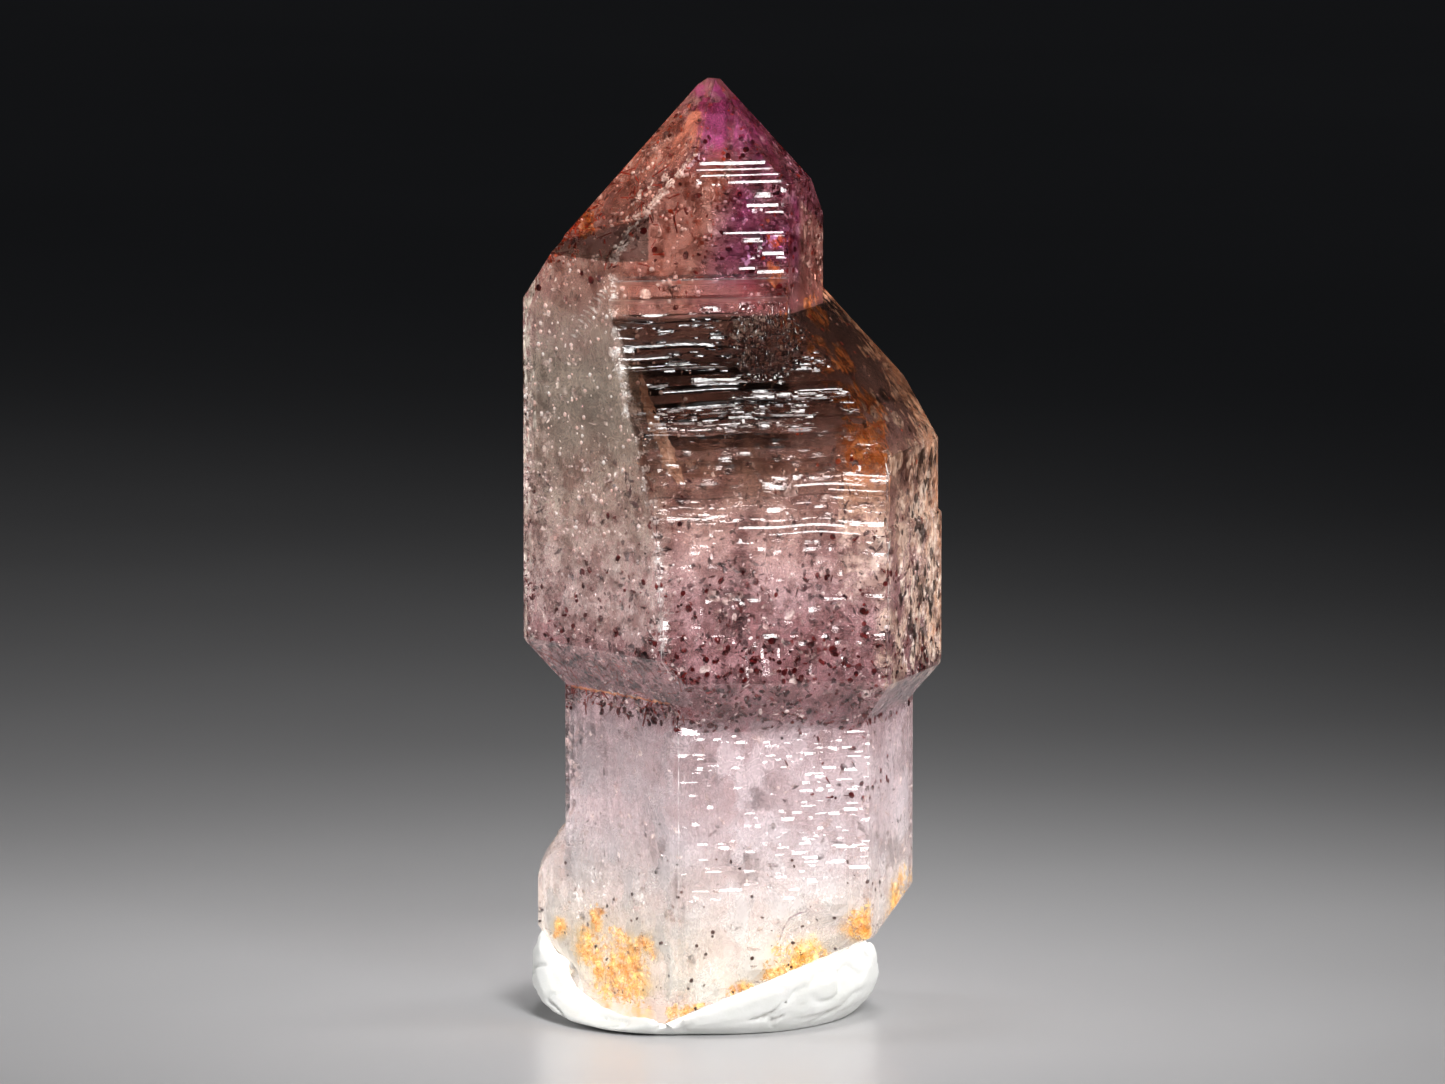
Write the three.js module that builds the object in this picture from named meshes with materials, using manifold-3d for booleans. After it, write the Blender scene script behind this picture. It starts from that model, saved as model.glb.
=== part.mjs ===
// A sceptre-shaped amethyst crystal with inclusions, standing in a wad of white display putty.
// Millimetres, +Z up. The origin is under the middle of the object, on the surface that it stands on.
//
// Quartz grows with flat faces at fixed angles, and only their distances from the axis differ from one crystal
// to another. So each stretch of this crystal is a list of faces: six upright prism faces, 60 degrees apart, and
// the sloping faces that close them at the top or the bottom. Bearings are in degrees, seen from above: 0 is the
// viewer's side (-Y) and 90 is the right (+X).
import * as THREE from 'three';
import { ConvexGeometry } from 'three/addons/geometries/ConvexGeometry.js';
import { mergeVertices } from 'three/addons/utils/BufferGeometryUtils.js';
import Module from 'manifold-3d';

const wasm = await Module();
wasm.setup();

// Driving dimensions
const HEIGHT = 50.3; // from the surface to the worn tip
const SLOPE_DEG = 51.79; // how far quartz's sloping faces lean from level
const LOWEST = 0.7; // the crystal's lowest corner, above the surface
const FIT_GAP = 0.3; // between the crystal and the putty around it
const SPARE = 2; // how far a cutting solid runs past what it cuts

// The six prism faces, by the side that they face
const FRONT = 10;
const RIGHT = 70;
const BACK_RIGHT = 130;
const BACK = 190;
const BACK_LEFT = -110;
const LEFT = -50;

// How far each prism face is from the axis. The tip and the shoulder share the head's back and left.
const TIP_REACH = { [FRONT]: 6.45, [RIGHT]: 4.82, [BACK_RIGHT]: 2.97 };
const HEAD_REACH = {
  [FRONT]: 10.25,
  [RIGHT]: 10.65,
  [BACK_RIGHT]: 7.95,
  [BACK]: 9.4,
  [BACK_LEFT]: 9.65,
  [LEFT]: 9.86,
};
const STEM_REACH = {
  [FRONT]: 7.95,
  [RIGHT]: 9.06,
  [BACK_RIGHT]: 7.16,
  [BACK]: 7.9,
  [BACK_LEFT]: 7.84,
  [LEFT]: 7.74,
};

// Heights at which the sloping faces cross those prism faces
const TIP_TOPS = { [FRONT]: 46.6, [RIGHT]: 44.95, [BACK_RIGHT]: 42.9 };
const HEAD_TOPS = { [BACK]: 34.6, [BACK_LEFT]: 38.55, [LEFT]: 41.7 };
const SHOULDER_TOPS = { [RIGHT]: 30.95, [BACK_RIGHT]: 34.0 };
const HEAD_FEET = {
  [FRONT]: 19.25,
  [RIGHT]: 18.9,
  [BACK_RIGHT]: 19.2,
  [BACK]: 18.2,
  [BACK_LEFT]: 20.3,
  [LEFT]: 20.5,
};
const HEAD_BOTTOM = 14.5;
const STEM_TOP = 21;

// Growth steps down the front, each a narrow sloping ledge: [height of its lower edge, reach of the face below]
const GROWTH_STEPS = [
  [44.95, 6.49],
  [42.2, 6.53],
  [39.95, 6.6],
  [38.95, 6.67],
  [37.9, 6.73],
  [36.5, 6.83],
  [35.5, 7.05],
  [34.65, 7.42],
  [33.8, 7.75],
  [33.0, 8.2],
  [32.2, 8.75],
  [30.95, 9.15],
  [29.6, 9.55],
  [27.8, 9.78],
  [25.4, 9.92],
  [23.4, 10.05],
  [21.7, 10.25],
];

// The lower part of the right side stands a little proud of the part above it
const RIGHT_STEP = { height: 27.0, proud: 0.17 };

// The left sloping face has a lower strip, sunk below a slanting ledge
const SUNK_STRIP = { depth: 0.3, ledgeBearing: 160, ledgeLean: 42, ledgePoint: [-4.58, -7.48, 43.5] };

const sideways = (bearing) => {
  const angle = THREE.MathUtils.degToRad(bearing);
  return new THREE.Vector3(Math.sin(angle), -Math.cos(angle), 0);
};

// A face is a plane: its outward normal and its distance from the origin
const prismFace = (bearing, reach) => ({ normal: sideways(bearing), offset: reach });

// A face that leans from level by leanDeg, facing up (1) or down (-1), and crosses the given point
function leaningFace(bearing, leanDeg, point, up = 1) {
  const lean = THREE.MathUtils.degToRad(leanDeg);
  const normal = sideways(bearing).multiplyScalar(Math.sin(lean)).setZ(up * Math.cos(lean));
  return { normal, offset: normal.dot(point) };
}

// Quartz's own sloping faces, by where they cross the prism face below or above them
const onPrism = (bearing, reach, height) => sideways(bearing).multiplyScalar(reach).setZ(height);
const topFace = (bearing, reach, height) => leaningFace(bearing, SLOPE_DEG, onPrism(bearing, reach, height));
const underFace = (bearing, reach, height) =>
  leaningFace(bearing, SLOPE_DEG, onPrism(bearing, reach, height), -1);
const level = (height, up) => ({ normal: new THREE.Vector3(0, 0, up), offset: up * height });
const moved = (face, distance) => ({ normal: face.normal, offset: face.offset + distance });
const flipped = (face) => ({ normal: face.normal.clone().negate(), offset: -face.offset });

const facesAt = (makeFace, reach, heights) =>
  Object.entries(heights).map(([bearing, height]) => makeFace(Number(bearing), reach[bearing], height));

// The corner where three faces meet, or null where they have none
function cornerOf(a, b, c) {
  const rows = new THREE.Matrix3().set(...a.normal, ...b.normal, ...c.normal);
  if (Math.abs(rows.determinant()) < 1e-6) return null;
  return new THREE.Vector3(a.offset, b.offset, c.offset).applyMatrix3(rows.invert());
}

function toSolid(geometry) {
  const bare = new THREE.BufferGeometry();
  bare.setAttribute('position', geometry.getAttribute('position').clone());
  if (geometry.index) bare.setIndex(geometry.index.clone());
  const merged = mergeVertices(bare, 1e-5);
  return new wasm.Manifold(
    new wasm.Mesh({
      numProp: 3,
      vertProperties: new Float32Array(merged.getAttribute('position').array),
      triVerts: new Uint32Array(merged.index.array),
    }),
  );
}

function toGeometry(solid) {
  const mesh = solid.getMesh();
  const geometry = new THREE.BufferGeometry();
  geometry.setAttribute('position', new THREE.BufferAttribute(new Float32Array(mesh.vertProperties), 3));
  geometry.setIndex(new THREE.BufferAttribute(new Uint32Array(mesh.triVerts), 1));
  return geometry;
}

// The solid inside a list of faces
function facedSolid(faces) {
  const corners = [];
  for (let i = 0; i < faces.length; i++) {
    for (let j = i + 1; j < faces.length; j++) {
      for (let k = j + 1; k < faces.length; k++) {
        const corner = cornerOf(faces[i], faces[j], faces[k]);
        if (!corner) continue;
        const inside = faces.every((face) => face.normal.dot(corner) < face.offset + 1e-5);
        if (inside && !corners.some((other) => other.distanceTo(corner) < 1e-4)) corners.push(corner);
      }
    }
  }
  return toSolid(new ConvexGeometry(corners));
}

const joined = (solids) => solids.reduce((whole, solid) => whole.add(solid));

// A block that one or a few faces cut, and that runs past the head on every other side
const blockWith = (faces, bearings) =>
  facedSolid([
    ...faces,
    ...bearings.map((bearing) => prismFace(bearing, HEAD_REACH[bearing] + SPARE)),
    level(HEIGHT + SPARE, 1),
    level(HEAD_BOTTOM - SPARE, -1),
  ]);

// The stepped front: each block reaches further forward than the one above it, and ends in its own ledge
function steppedFront() {
  const steps = [[TIP_TOPS[FRONT], TIP_REACH[FRONT]], ...GROWTH_STEPS];
  const others = [RIGHT, BACK_RIGHT, BACK, BACK_LEFT, LEFT];
  const blocks = steps.map(([height, reach]) =>
    blockWith([prismFace(FRONT, reach), topFace(FRONT, reach, height)], others),
  );
  return joined(blocks);
}

// The right side: the slim tip, the shoulder that ends beside it, and the lower part that stands proud
function rightSide() {
  const column = (reach, heights) =>
    blockWith(
      [RIGHT, BACK_RIGHT].flatMap((bearing) => [
        prismFace(bearing, reach[bearing]),
        topFace(bearing, reach[bearing], heights[bearing]),
      ]),
      [FRONT, BACK, BACK_LEFT, LEFT],
    );
  const step = { [RIGHT]: RIGHT_STEP.height, [BACK_RIGHT]: RIGHT_STEP.height };
  const inset = (bearing) => HEAD_REACH[bearing] - RIGHT_STEP.proud;
  const shoulder = { [RIGHT]: inset(RIGHT), [BACK_RIGHT]: inset(BACK_RIGHT) };
  return joined([column(TIP_REACH, TIP_TOPS), column(shoulder, SHOULDER_TOPS), column(HEAD_REACH, step)]);
}

// What is cut away from the left sloping face, down to its sunk strip
function sunkStrip(leftTop) {
  const { depth, ledgeBearing, ledgeLean, ledgePoint } = SUNK_STRIP;
  return facedSolid([
    leaningFace(ledgeBearing, ledgeLean, new THREE.Vector3(...ledgePoint)),
    flipped(moved(leftTop, -depth)),
    moved(leftTop, SPARE),
    prismFace(LEFT, HEAD_REACH[LEFT] + SPARE),
    prismFace(FRONT, HEAD_REACH[FRONT] + SPARE),
    prismFace(BACK_LEFT, HEAD_REACH[BACK_LEFT] + SPARE),
    prismFace(LEFT + 180, 0),
  ]);
}

function head() {
  const outer = facedSolid([
    ...[FRONT, BACK, BACK_LEFT, LEFT].map((bearing) => prismFace(bearing, HEAD_REACH[bearing])),
    prismFace(RIGHT, HEAD_REACH[RIGHT] + SPARE),
    prismFace(BACK_RIGHT, HEAD_REACH[BACK_RIGHT] + SPARE),
    ...facesAt(topFace, HEAD_REACH, HEAD_TOPS),
    ...facesAt(underFace, HEAD_REACH, HEAD_FEET),
    level(HEIGHT, 1),
    level(HEAD_BOTTOM, -1),
  ]);
  const leftTop = topFace(LEFT, HEAD_REACH[LEFT], HEAD_TOPS[LEFT]);
  return outer.intersect(steppedFront()).intersect(rightSide()).subtract(sunkStrip(leftTop));
}

// The stem and its foot: broken off on slanting fracture faces, with a lump on its left and shell-shaped
// scoops. grow swells it all round, which gives the hollow that the foot leaves in the putty.
const FRACTURES = [
  { bearing: -93, lean: 50, point: [-7.4, 0, 1.1] },
  { bearing: 66, lean: 25, point: [-3.6, -7.7, LOWEST] },
  { bearing: 82, lean: 56, point: [7.6, 0, 4.1] },
  { bearing: 165, lean: 24, point: [-2.0, 4.0, 1.3] },
];
const LUMP = { middle: [-6.3, 0.9, 5.6], radii: [4.3, 4.7, 5.6] };
const SCOOPS = [
  { middle: [5.1, -9.5, 4.6], radius: 3.2 },
  { middle: [8.7, -5.6, 3.6], radius: 2.1 },
  { middle: [2.2, -9.3, 0.6], radius: 2.3 },
  { middle: [-8.6, -5.0, -0.6], radius: 2.5 },
  { middle: [-10.4, -1.5, 0.8], radius: 2.8 },
  { middle: [-4.6, -10.2, 1.4], radius: 1.9 },
  { middle: [8.8, 2.0, 2.4], radius: 3.1 },
  { middle: [-8.0, 5.2, 0.6], radius: 3.0 },
  { middle: [1.0, 9.4, 1.6], radius: 3.0 },
  { middle: [5.6, 7.4, 3.0], radius: 2.4 },
];
const BALL_DETAIL = 6;

function ball({ middle, radius, radii = [radius, radius, radius] }, grow = 0) {
  const round = new THREE.IcosahedronGeometry(1, BALL_DETAIL);
  round.scale(...radii.map((size) => size + grow)).translate(...middle);
  return toSolid(round);
}

function foot(grow = 0) {
  const bounds = facedSolid([
    prismFace(LEFT, STEM_REACH[LEFT] + grow),
    ...[FRONT, RIGHT, BACK, BACK_LEFT].map((bearing) => prismFace(bearing, STEM_REACH[bearing] + grow + SPARE)),
    ...FRACTURES.map(({ bearing, lean, point }) =>
      moved(leaningFace(bearing, lean, new THREE.Vector3(...point), -1), grow),
    ),
    level(LOWEST - grow, -1),
    level(STEM_TOP, 1),
  ]);
  const upright = [FRONT, RIGHT, BACK_RIGHT, BACK, BACK_LEFT];
  const column = facedSolid([
    prismFace(LEFT, STEM_REACH[LEFT] + grow + SPARE),
    ...upright.map((bearing) => prismFace(bearing, STEM_REACH[bearing] + grow)),
    level(STEM_TOP + SPARE, 1),
    level(LOWEST - grow - SPARE, -1),
  ]);
  return column.add(ball(LUMP, grow)).intersect(bounds);
}

const scooped = (solid) => SCOOPS.reduce((rest, scoop) => rest.subtract(ball(scoop)), solid);

// The putty: a squeezed wad, higher at its sides and back than at the front left, where the crystal goes
// deepest. By bearing: how far it bulges, how high its rim is, and what share of the bulge it stands on.
const PUTTY_MIDDLE = [-1.5, 0.5];
const PUTTY_REACH = { '-180': 8.6, '-140': 9.1, '-90': 9.3, '-60': 9, '-30': 8.9, 0: 8.5, 40: 8.9, 90: 9.35 };
const PUTTY_RIM = { '-180': 4.6, '-140': 4.9, '-90': 4.7, '-60': 2.5, '-30': 1.1, 0: 2, 40: 3.9, 75: 4.7 };
const PUTTY_TREAD = { '-180': 0.82, '-90': 0.66, '-50': 0.78, '-20': 0.9, 0: 0.88, 90: 0.84 };
const PUTTY_TOP = 4.0; // the height of its middle, which the crystal's hollow takes away
const PUTTY_SECTION = [
  [0, 0],
  [0.6, 0],
  [1, 0],
  [1, 0.08],
  [1, 0.22],
  [1, 0.42],
  [0.99, 0.66],
  [0.95, 0.87],
  [0.87, 0.99],
  [0.74, 1.02],
  [0.5, 0.95],
  [0, 0.9],
];
const BULGE_HEIGHT = 0.45; // the share of its height below which the wad draws in towards what it stands on
const PUTTY_SIDES = 56;

// A value that runs smoothly through the ones given for some bearings, all the way round
function around(table, bearing) {
  const stops = Object.keys(table).map(Number).sort((a, b) => a - b);
  const last = stops.length - 1;
  const from = stops.findLastIndex((stop) => stop <= bearing);
  const next = from === last ? stops[0] + 360 : stops[from + 1];
  const share = (bearing - stops[from]) / (next - stops[from]);
  const end = table[from === last ? stops[0] : next];
  return THREE.MathUtils.lerp(table[stops[from]], end, THREE.MathUtils.smoothstep(share, 0, 1));
}

function putty() {
  const section = PUTTY_SECTION.map(([out, up]) => new THREE.Vector2(out, up));
  const wad = new THREE.LatheGeometry(section, PUTTY_SIDES).rotateX(Math.PI / 2);
  const places = wad.getAttribute('position');
  for (let i = 0; i < places.count; i++) {
    const place = new THREE.Vector3().fromBufferAttribute(places, i);
    const bearing = THREE.MathUtils.radToDeg(Math.atan2(place.x, -place.y));
    const drawnIn = Math.max(0, 1 - place.z / BULGE_HEIGHT) ** 2;
    const reach = around(PUTTY_REACH, bearing) * (1 - (1 - around(PUTTY_TREAD, bearing)) * drawnIn);
    const rim = THREE.MathUtils.lerp(PUTTY_TOP, around(PUTTY_RIM, bearing), Math.hypot(place.x, place.y));
    places.setXYZ(i, PUTTY_MIDDLE[0] + place.x * reach, PUTTY_MIDDLE[1] + place.y * reach, place.z * rim);
  }
  return toSolid(wad).subtract(foot(FIT_GAP));
}

const named = (name, geometry, material) => {
  const mesh = new THREE.Mesh(geometry, material);
  mesh.name = name;
  return mesh;
};

const amethyst = new THREE.MeshStandardMaterial({ color: 0xb58aa6, roughness: 0.08, metalness: 0 });
const whitePutty = new THREE.MeshStandardMaterial({ color: 0xeeeee8, roughness: 0.85, metalness: 0 });

const group = new THREE.Group();
group.add(named('amethyst_crystal', toGeometry(head().add(scooped(foot()))), amethyst));
group.add(named('display_putty', toGeometry(putty()), whitePutty));

// The crystal's axis isn't quite the middle of the whole object, which the origin is under
const middle = new THREE.Box3().setFromObject(group).getCenter(new THREE.Vector3());
group.position.set(-middle.x, -middle.y, 0);

export default group;
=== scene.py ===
# %% [markdown]
# # An included amethyst crystal in a wad of white putty
#
# The object is a quartz crystal of the kind called a sceptre: a slim stem grew first, and then a wider
# head grew over its upper end. It is purple at the tip, smoky in the middle, mauve and full of dark red
# flecks in the lower part of the head, and pale lavender and milky in the stem. A wad of white putty
# holds it upright.
#
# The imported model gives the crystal's flat faces at their real size, and everything here is built around
# it. Each length below is in millimetres and is turned to metres where it is used.

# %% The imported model
import math

import bmesh
import bpy
import numpy as np
from mathutils import Matrix, Vector, noise
from mathutils.bvhtree import BVHTree


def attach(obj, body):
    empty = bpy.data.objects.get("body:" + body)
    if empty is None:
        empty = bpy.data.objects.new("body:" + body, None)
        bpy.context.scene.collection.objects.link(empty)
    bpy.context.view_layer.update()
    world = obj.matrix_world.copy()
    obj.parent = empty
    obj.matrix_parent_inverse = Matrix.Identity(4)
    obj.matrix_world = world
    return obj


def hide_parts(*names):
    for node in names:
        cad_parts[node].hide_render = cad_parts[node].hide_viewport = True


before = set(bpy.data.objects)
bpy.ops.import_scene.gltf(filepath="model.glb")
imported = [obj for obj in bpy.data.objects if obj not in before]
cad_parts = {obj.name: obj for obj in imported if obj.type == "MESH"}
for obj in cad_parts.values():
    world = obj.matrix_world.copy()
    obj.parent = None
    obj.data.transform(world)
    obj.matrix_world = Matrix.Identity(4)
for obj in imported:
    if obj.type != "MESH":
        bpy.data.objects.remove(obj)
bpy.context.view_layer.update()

MM = 0.001
CRYSTAL_NODE = "amethyst_crystal"
PUTTY_NODE = "display_putty"

# %% [markdown]
# ## The camera
#
# The photograph was taken from a little above the crystal's middle, with a long lens from about two
# thirds of a metre away. A long lens keeps the crystal's upright edges parallel, as they are in the
# picture.

# %% The camera
CAMERA_AIM = Vector((-0.54, 0.56, 25.26)) * MM
CAMERA_DISTANCE = 650 * MM
CAMERA_RAISED = math.radians(8)
SENSOR_WIDTH = 36.0
LENS_LENGTH = 305.5

camera = bpy.data.objects.new("camera", bpy.data.cameras.new("camera"))
camera.data.sensor_width = SENSOR_WIDTH
camera.data.lens = LENS_LENGTH
camera.data.clip_start = 10 * MM
camera.data.clip_end = 20.0
towards_camera = Vector((0, -math.cos(CAMERA_RAISED), math.sin(CAMERA_RAISED)))
camera.location = CAMERA_AIM + towards_camera * CAMERA_DISTANCE
camera.rotation_euler = towards_camera.to_track_quat("Z", "Y").to_euler()
bpy.context.scene.collection.objects.link(camera)
bpy.context.scene.camera = camera
print("camera at, mm:", [round(c / MM, 1) for c in camera.location])

# %% [markdown]
# ## Colours and nodes
#
# Every colour is written as an sRGB hex value, the way a colour picker shows it, and one function turns
# it to the linear numbers that Blender's shaders use. A second function adds one node: its properties,
# the values of its sockets, and the links into it.

# %% Colours and nodes
node_trees = []


def linear(hex_colour):
    channels = [int(hex_colour[i:i + 2], 16) / 255 for i in (1, 3, 5)]
    return tuple(c / 12.92 if c <= 0.04045 else ((c + 0.055) / 1.055) ** 2.4 for c in channels) + (1.0,)


def new_material(name):
    """Starts a material. The nodes that are added next are its nodes."""
    material = bpy.data.materials.new(name)
    material.use_nodes = True
    material.node_tree.nodes.clear()
    node_trees.append(material.node_tree)
    return material


def add(kind, *inputs, stops=(), **settings):
    """Adds a node to the newest material. Its operation can follow its kind. Its sockets are filled in order,
    or by name from one dictionary, with values, hex colours or other nodes. A node stands for its first
    output."""
    kind, _, operation = kind.partition(" ")
    node = node_trees[-1].nodes.new("ShaderNode" + kind)
    if operation:
        node.operation = operation
    for name, value in settings.items():
        setattr(node, name, value)
    by_name = inputs[0] if inputs and isinstance(inputs[0], dict) else dict(enumerate(inputs))
    for name, value in by_name.items():
        value = value.outputs[0] if isinstance(value, bpy.types.Node) else value
        if isinstance(value, bpy.types.NodeSocket):
            node_trees[-1].links.new(value, node.inputs[name])
        else:
            node.inputs[name].default_value = linear(value) if isinstance(value, str) else value
    for number, (position, shade) in enumerate(stops):
        elements = node.color_ramp.elements
        element = elements[number] if number < 2 else elements.new(position)
        element.position = position
        element.color = linear(shade) if isinstance(shade, str) else (shade, shade, shade, 1.0)
    return node


print("purple in linear numbers:", [round(c, 3) for c in linear("#a04c8c")])

# %% [markdown]
# ## The studio
#
# The crystal stands on a plain pale board. Softboxes with grids light it: one above and in front, whose
# mirror image is what shines in the growth lines, one overhead, and two behind, left and right, that
# shine through the clear quartz. The grids keep their light near the object, so the board fades to dark
# in the distance, as it does in the photograph.

# %% The softboxes
SOFTBOXES = {
    "key": {"at": (95, -215, 205), "aim": (0, -5, 20), "size": (120, 110), "radiance": 30.0, "spread": 33},
    "top": {"at": (0, 15, 190), "aim": (0, 0, 20), "size": (90, 80), "radiance": 9.0, "spread": 45},
    "left": {"at": (-190, 60, 85), "aim": (0, 0, 25), "size": (70, 110), "radiance": 13.0, "spread": 32},
    "right": {"at": (185, 90, 85), "aim": (0, 0, 28), "size": (60, 110), "radiance": 14.0, "spread": 32},
}

for name, box in SOFTBOXES.items():
    light = bpy.data.lights.new(name, "AREA")
    light.shape = "RECTANGLE"
    light.size, light.size_y = box["size"][0] * MM, box["size"][1] * MM
    light.spread = math.radians(box["spread"])
    light.energy = math.pi * light.size * light.size_y * box["radiance"] * (box["spread"] / 180) ** 2
    softbox = bpy.data.objects.new(name, light)
    softbox.location = Vector(box["at"]) * MM
    softbox.rotation_euler = (Vector(box["at"]) - Vector(box["aim"])).to_track_quat("Z", "Y").to_euler()
    bpy.context.scene.collection.objects.link(softbox)

world = bpy.data.worlds.new("dim studio")
world.use_nodes = True
world.node_tree.nodes["Background"].inputs["Color"].default_value = linear("#8a8d94")
world.node_tree.nodes["Background"].inputs["Strength"].default_value = 0.035
bpy.context.scene.world = world
bpy.context.scene.view_settings.view_transform = "Standard"
bpy.context.scene.cycles.transparent_max_bounces = 40
bpy.context.scene.cycles.use_light_tree = False
bpy.context.scene.cycles.max_bounces = 16
bpy.context.scene.cycles.transmission_bounces = 16
print("softboxes:", ", ".join(SOFTBOXES))

# %% The board
BOARD_SIDE = 6000
BOARD_COLOURS = ("#c4c3c4", "#cfcecf")


def pale_board():
    material = new_material("satin pale board")
    place = add("TexCoord").outputs["Object"]
    blotches = add("TexNoise", {"Vector": place, "Scale": 12.0, "Detail": 3.0})
    colour = add("ValToRGB", blotches, stops=[(0.35, BOARD_COLOURS[0]), (0.65, BOARD_COLOURS[1])])
    grain = add("TexNoise", {"Vector": place, "Scale": 2500.0, "Detail": 2.0})
    bump = add("Bump", {"Height": grain, "Strength": 0.12, "Distance": 0.05 * MM})
    add("OutputMaterial", add("BsdfPrincipled", {"Base Color": colour, "Normal": bump, "Roughness": 0.32}))
    return material


mesh = bpy.data.meshes.new("board")
half = BOARD_SIDE / 2 * MM
mesh.from_pydata([(-half, -half, 0), (half, -half, 0), (half, half, 0), (-half, half, 0)], [], [(0, 1, 2, 3)])
mesh.materials.append(pale_board())
board = bpy.data.objects.new("board", mesh)
bpy.context.scene.collection.objects.link(board)

# %% [markdown]
# ## The crystal's surface
#
# Quartz grows with flat faces, and its upright prism faces carry fine cross lines, where the growth went
# forward in steps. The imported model's solid has the flat faces and the larger steps. A copy of it is cut
# into narrow strips along those lines, so that each strip can be pressed in by a few hundredths of a
# millimetre. Real relief like this bends what is seen through the quartz, which a painted line can't do.

# %% The facets
WELD = 0.002
FLAT_WITHIN = math.radians(0.6)
NOT_LEVEL = 0.7
UPRIGHT_WITHIN = 0.02
LEAST_AREA = 1.0
TREAD_SLOPE = 0.5
SAME_BEARING = 0.999
AXIS = Vector((0, 0.56, 0))
UP = Vector((0, 0, 1))
FRONT, RIGHT, BACK_RIGHT, BACK, BACK_LEFT, LEFT = BEARINGS = (10, 70, 130, 190, -110, -50)
STEM_TOP = 18.5
PYRAMID_FOOT = 46.6


def facing(bearing):
    turn = math.radians(bearing)
    return Vector((math.sin(turn), -math.cos(turn), 0))


def side_of(bearing):
    """The level direction along a face."""
    return UP.cross(facing(bearing))


def turned_to(face, bearing):
    across = Vector((face.normal.x, face.normal.y, 0))
    return across.length >= NOT_LEVEL and across.normalized().dot(facing(bearing)) >= SAME_BEARING


def low(face):
    return min(v.co.z for v in face.verts)


def high(face):
    return max(v.co.z for v in face.verts)


crystal_form = bmesh.new()
crystal_form.from_mesh(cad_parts[CRYSTAL_NODE].data)
crystal_form.transform(Matrix.Scale(1 / MM, 4))
bmesh.ops.remove_doubles(crystal_form, verts=crystal_form.verts, dist=WELD)
bmesh.ops.dissolve_limit(crystal_form, angle_limit=FLAT_WITHIN, verts=crystal_form.verts,
                         edges=crystal_form.edges)
family = crystal_form.faces.layers.int.new("family")
FAMILIES = [None]


def name_families(form):
    """Numbers the upright faces. The front steps of the head count as one face."""
    for bearing in BEARINGS:
        for of_stem in (True, False):
            FAMILIES.append((bearing, of_stem))
            for face in form.faces:
                middle = (low(face) + high(face)) / 2
                upright = abs(face.normal.z) < UPRIGHT_WITHIN and face.calc_area() > LEAST_AREA
                tread = bearing == FRONT and face.normal.z > TREAD_SLOPE and high(face) < PYRAMID_FOOT
                if (upright or tread) and (middle < STEM_TOP) == of_stem and turned_to(face, bearing):
                    face[family] = len(FAMILIES) - 1


name_families(crystal_form)
print("crystal:", len(crystal_form.faces), "facets,",
      sum(1 for f in crystal_form.faces if f[family]), "of them upright or on the front")

# %% [markdown]
# The growth lines are level, so they are cuts at chosen heights. They lie close together where the
# photograph shows many, and wider apart elsewhere. Two heights on the front carry broad, satin grey
# bands.

# %% Cutting the faces into strips
LINE_GAPS = [(7.0, 16.3, 0.075), (16.3, 21.0, 0.4), (21.0, 26.5, 0.17), (26.5, 31.0, 0.1),
             (31.0, 38.4, 0.07), (38.4, 46.5, 0.12)]
SATIN_BANDS = [(38.78, 39.10), (39.79, 40.13)]
BAND_MARGIN = 0.06
COLUMNS = {FRONT: 0.14}
WIDE_COLUMN = 0.7
HAIR = 1e-4
LEAST_GAP = 0.04
WORN_EDGE = {"longer than": 1.6, "steps longer than": 0.3, "sharper than": math.radians(25), "above": 6.5,
             "width": 0.07}


def line_heights(form, seed=7):
    """The satin bands, the steps that the model already has, and fine lines between them."""
    draw = np.random.default_rng(seed)
    head_front = FAMILIES.index((FRONT, False))
    heights = [z for band in SATIN_BANDS for z in band]
    wanted = sorted({round(v.co.z, 3) for f in form.faces if f[family] == head_front for v in f.verts})
    for bottom, top, space in LINE_GAPS:
        z = bottom
        while z < top:
            if all(not (a - BAND_MARGIN < z < b + BAND_MARGIN) for a, b in SATIN_BANDS):
                wanted.append(z)
            z += space * draw.uniform(0.6, 1.4)
    for z in wanted:
        if z < PYRAMID_FOOT and min(abs(z - other) for other in heights) > LEAST_GAP:
            heights.append(z)
    return np.array(sorted(heights))


def cut(form, faces, across, point, normal):
    """Cuts some of the faces along a plane, and returns the faces that they all have become."""
    crossed = set(across)
    kept = [f for f in faces if f not in crossed]
    edges = {e for f in across for e in f.edges}
    corners = {v for f in across for v in f.verts}
    made = bmesh.ops.bisect_plane(form, geom=[*across, *edges, *corners], dist=HAIR / 10,
                                  plane_co=point, plane_no=normal)
    return [*kept, *(g for g in made["geom"] if isinstance(g, bmesh.types.BMFace))]


def cut_upright(form, faces, bearing, width):
    along = side_of(bearing)
    places = [v.co.dot(along) for f in faces for v in f.verts]
    for place in np.arange(min(places) + width / 2, max(places), width):
        across = [f for f in faces
                  if min(v.co.dot(along) for v in f.verts) < place - HAIR
                  and max(v.co.dot(along) for v in f.verts) > place + HAIR]
        if across:
            faces = cut(form, faces, across, along * place, along)


def cut_level(form, faces, heights):
    for z in heights:
        across = [f for f in faces if low(f) < z - HAIR and high(f) > z + HAIR]
        if across:
            faces = cut(form, faces, across, UP * z, UP)
        faces = [f for f in faces if high(f) > z + HAIR]


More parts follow.
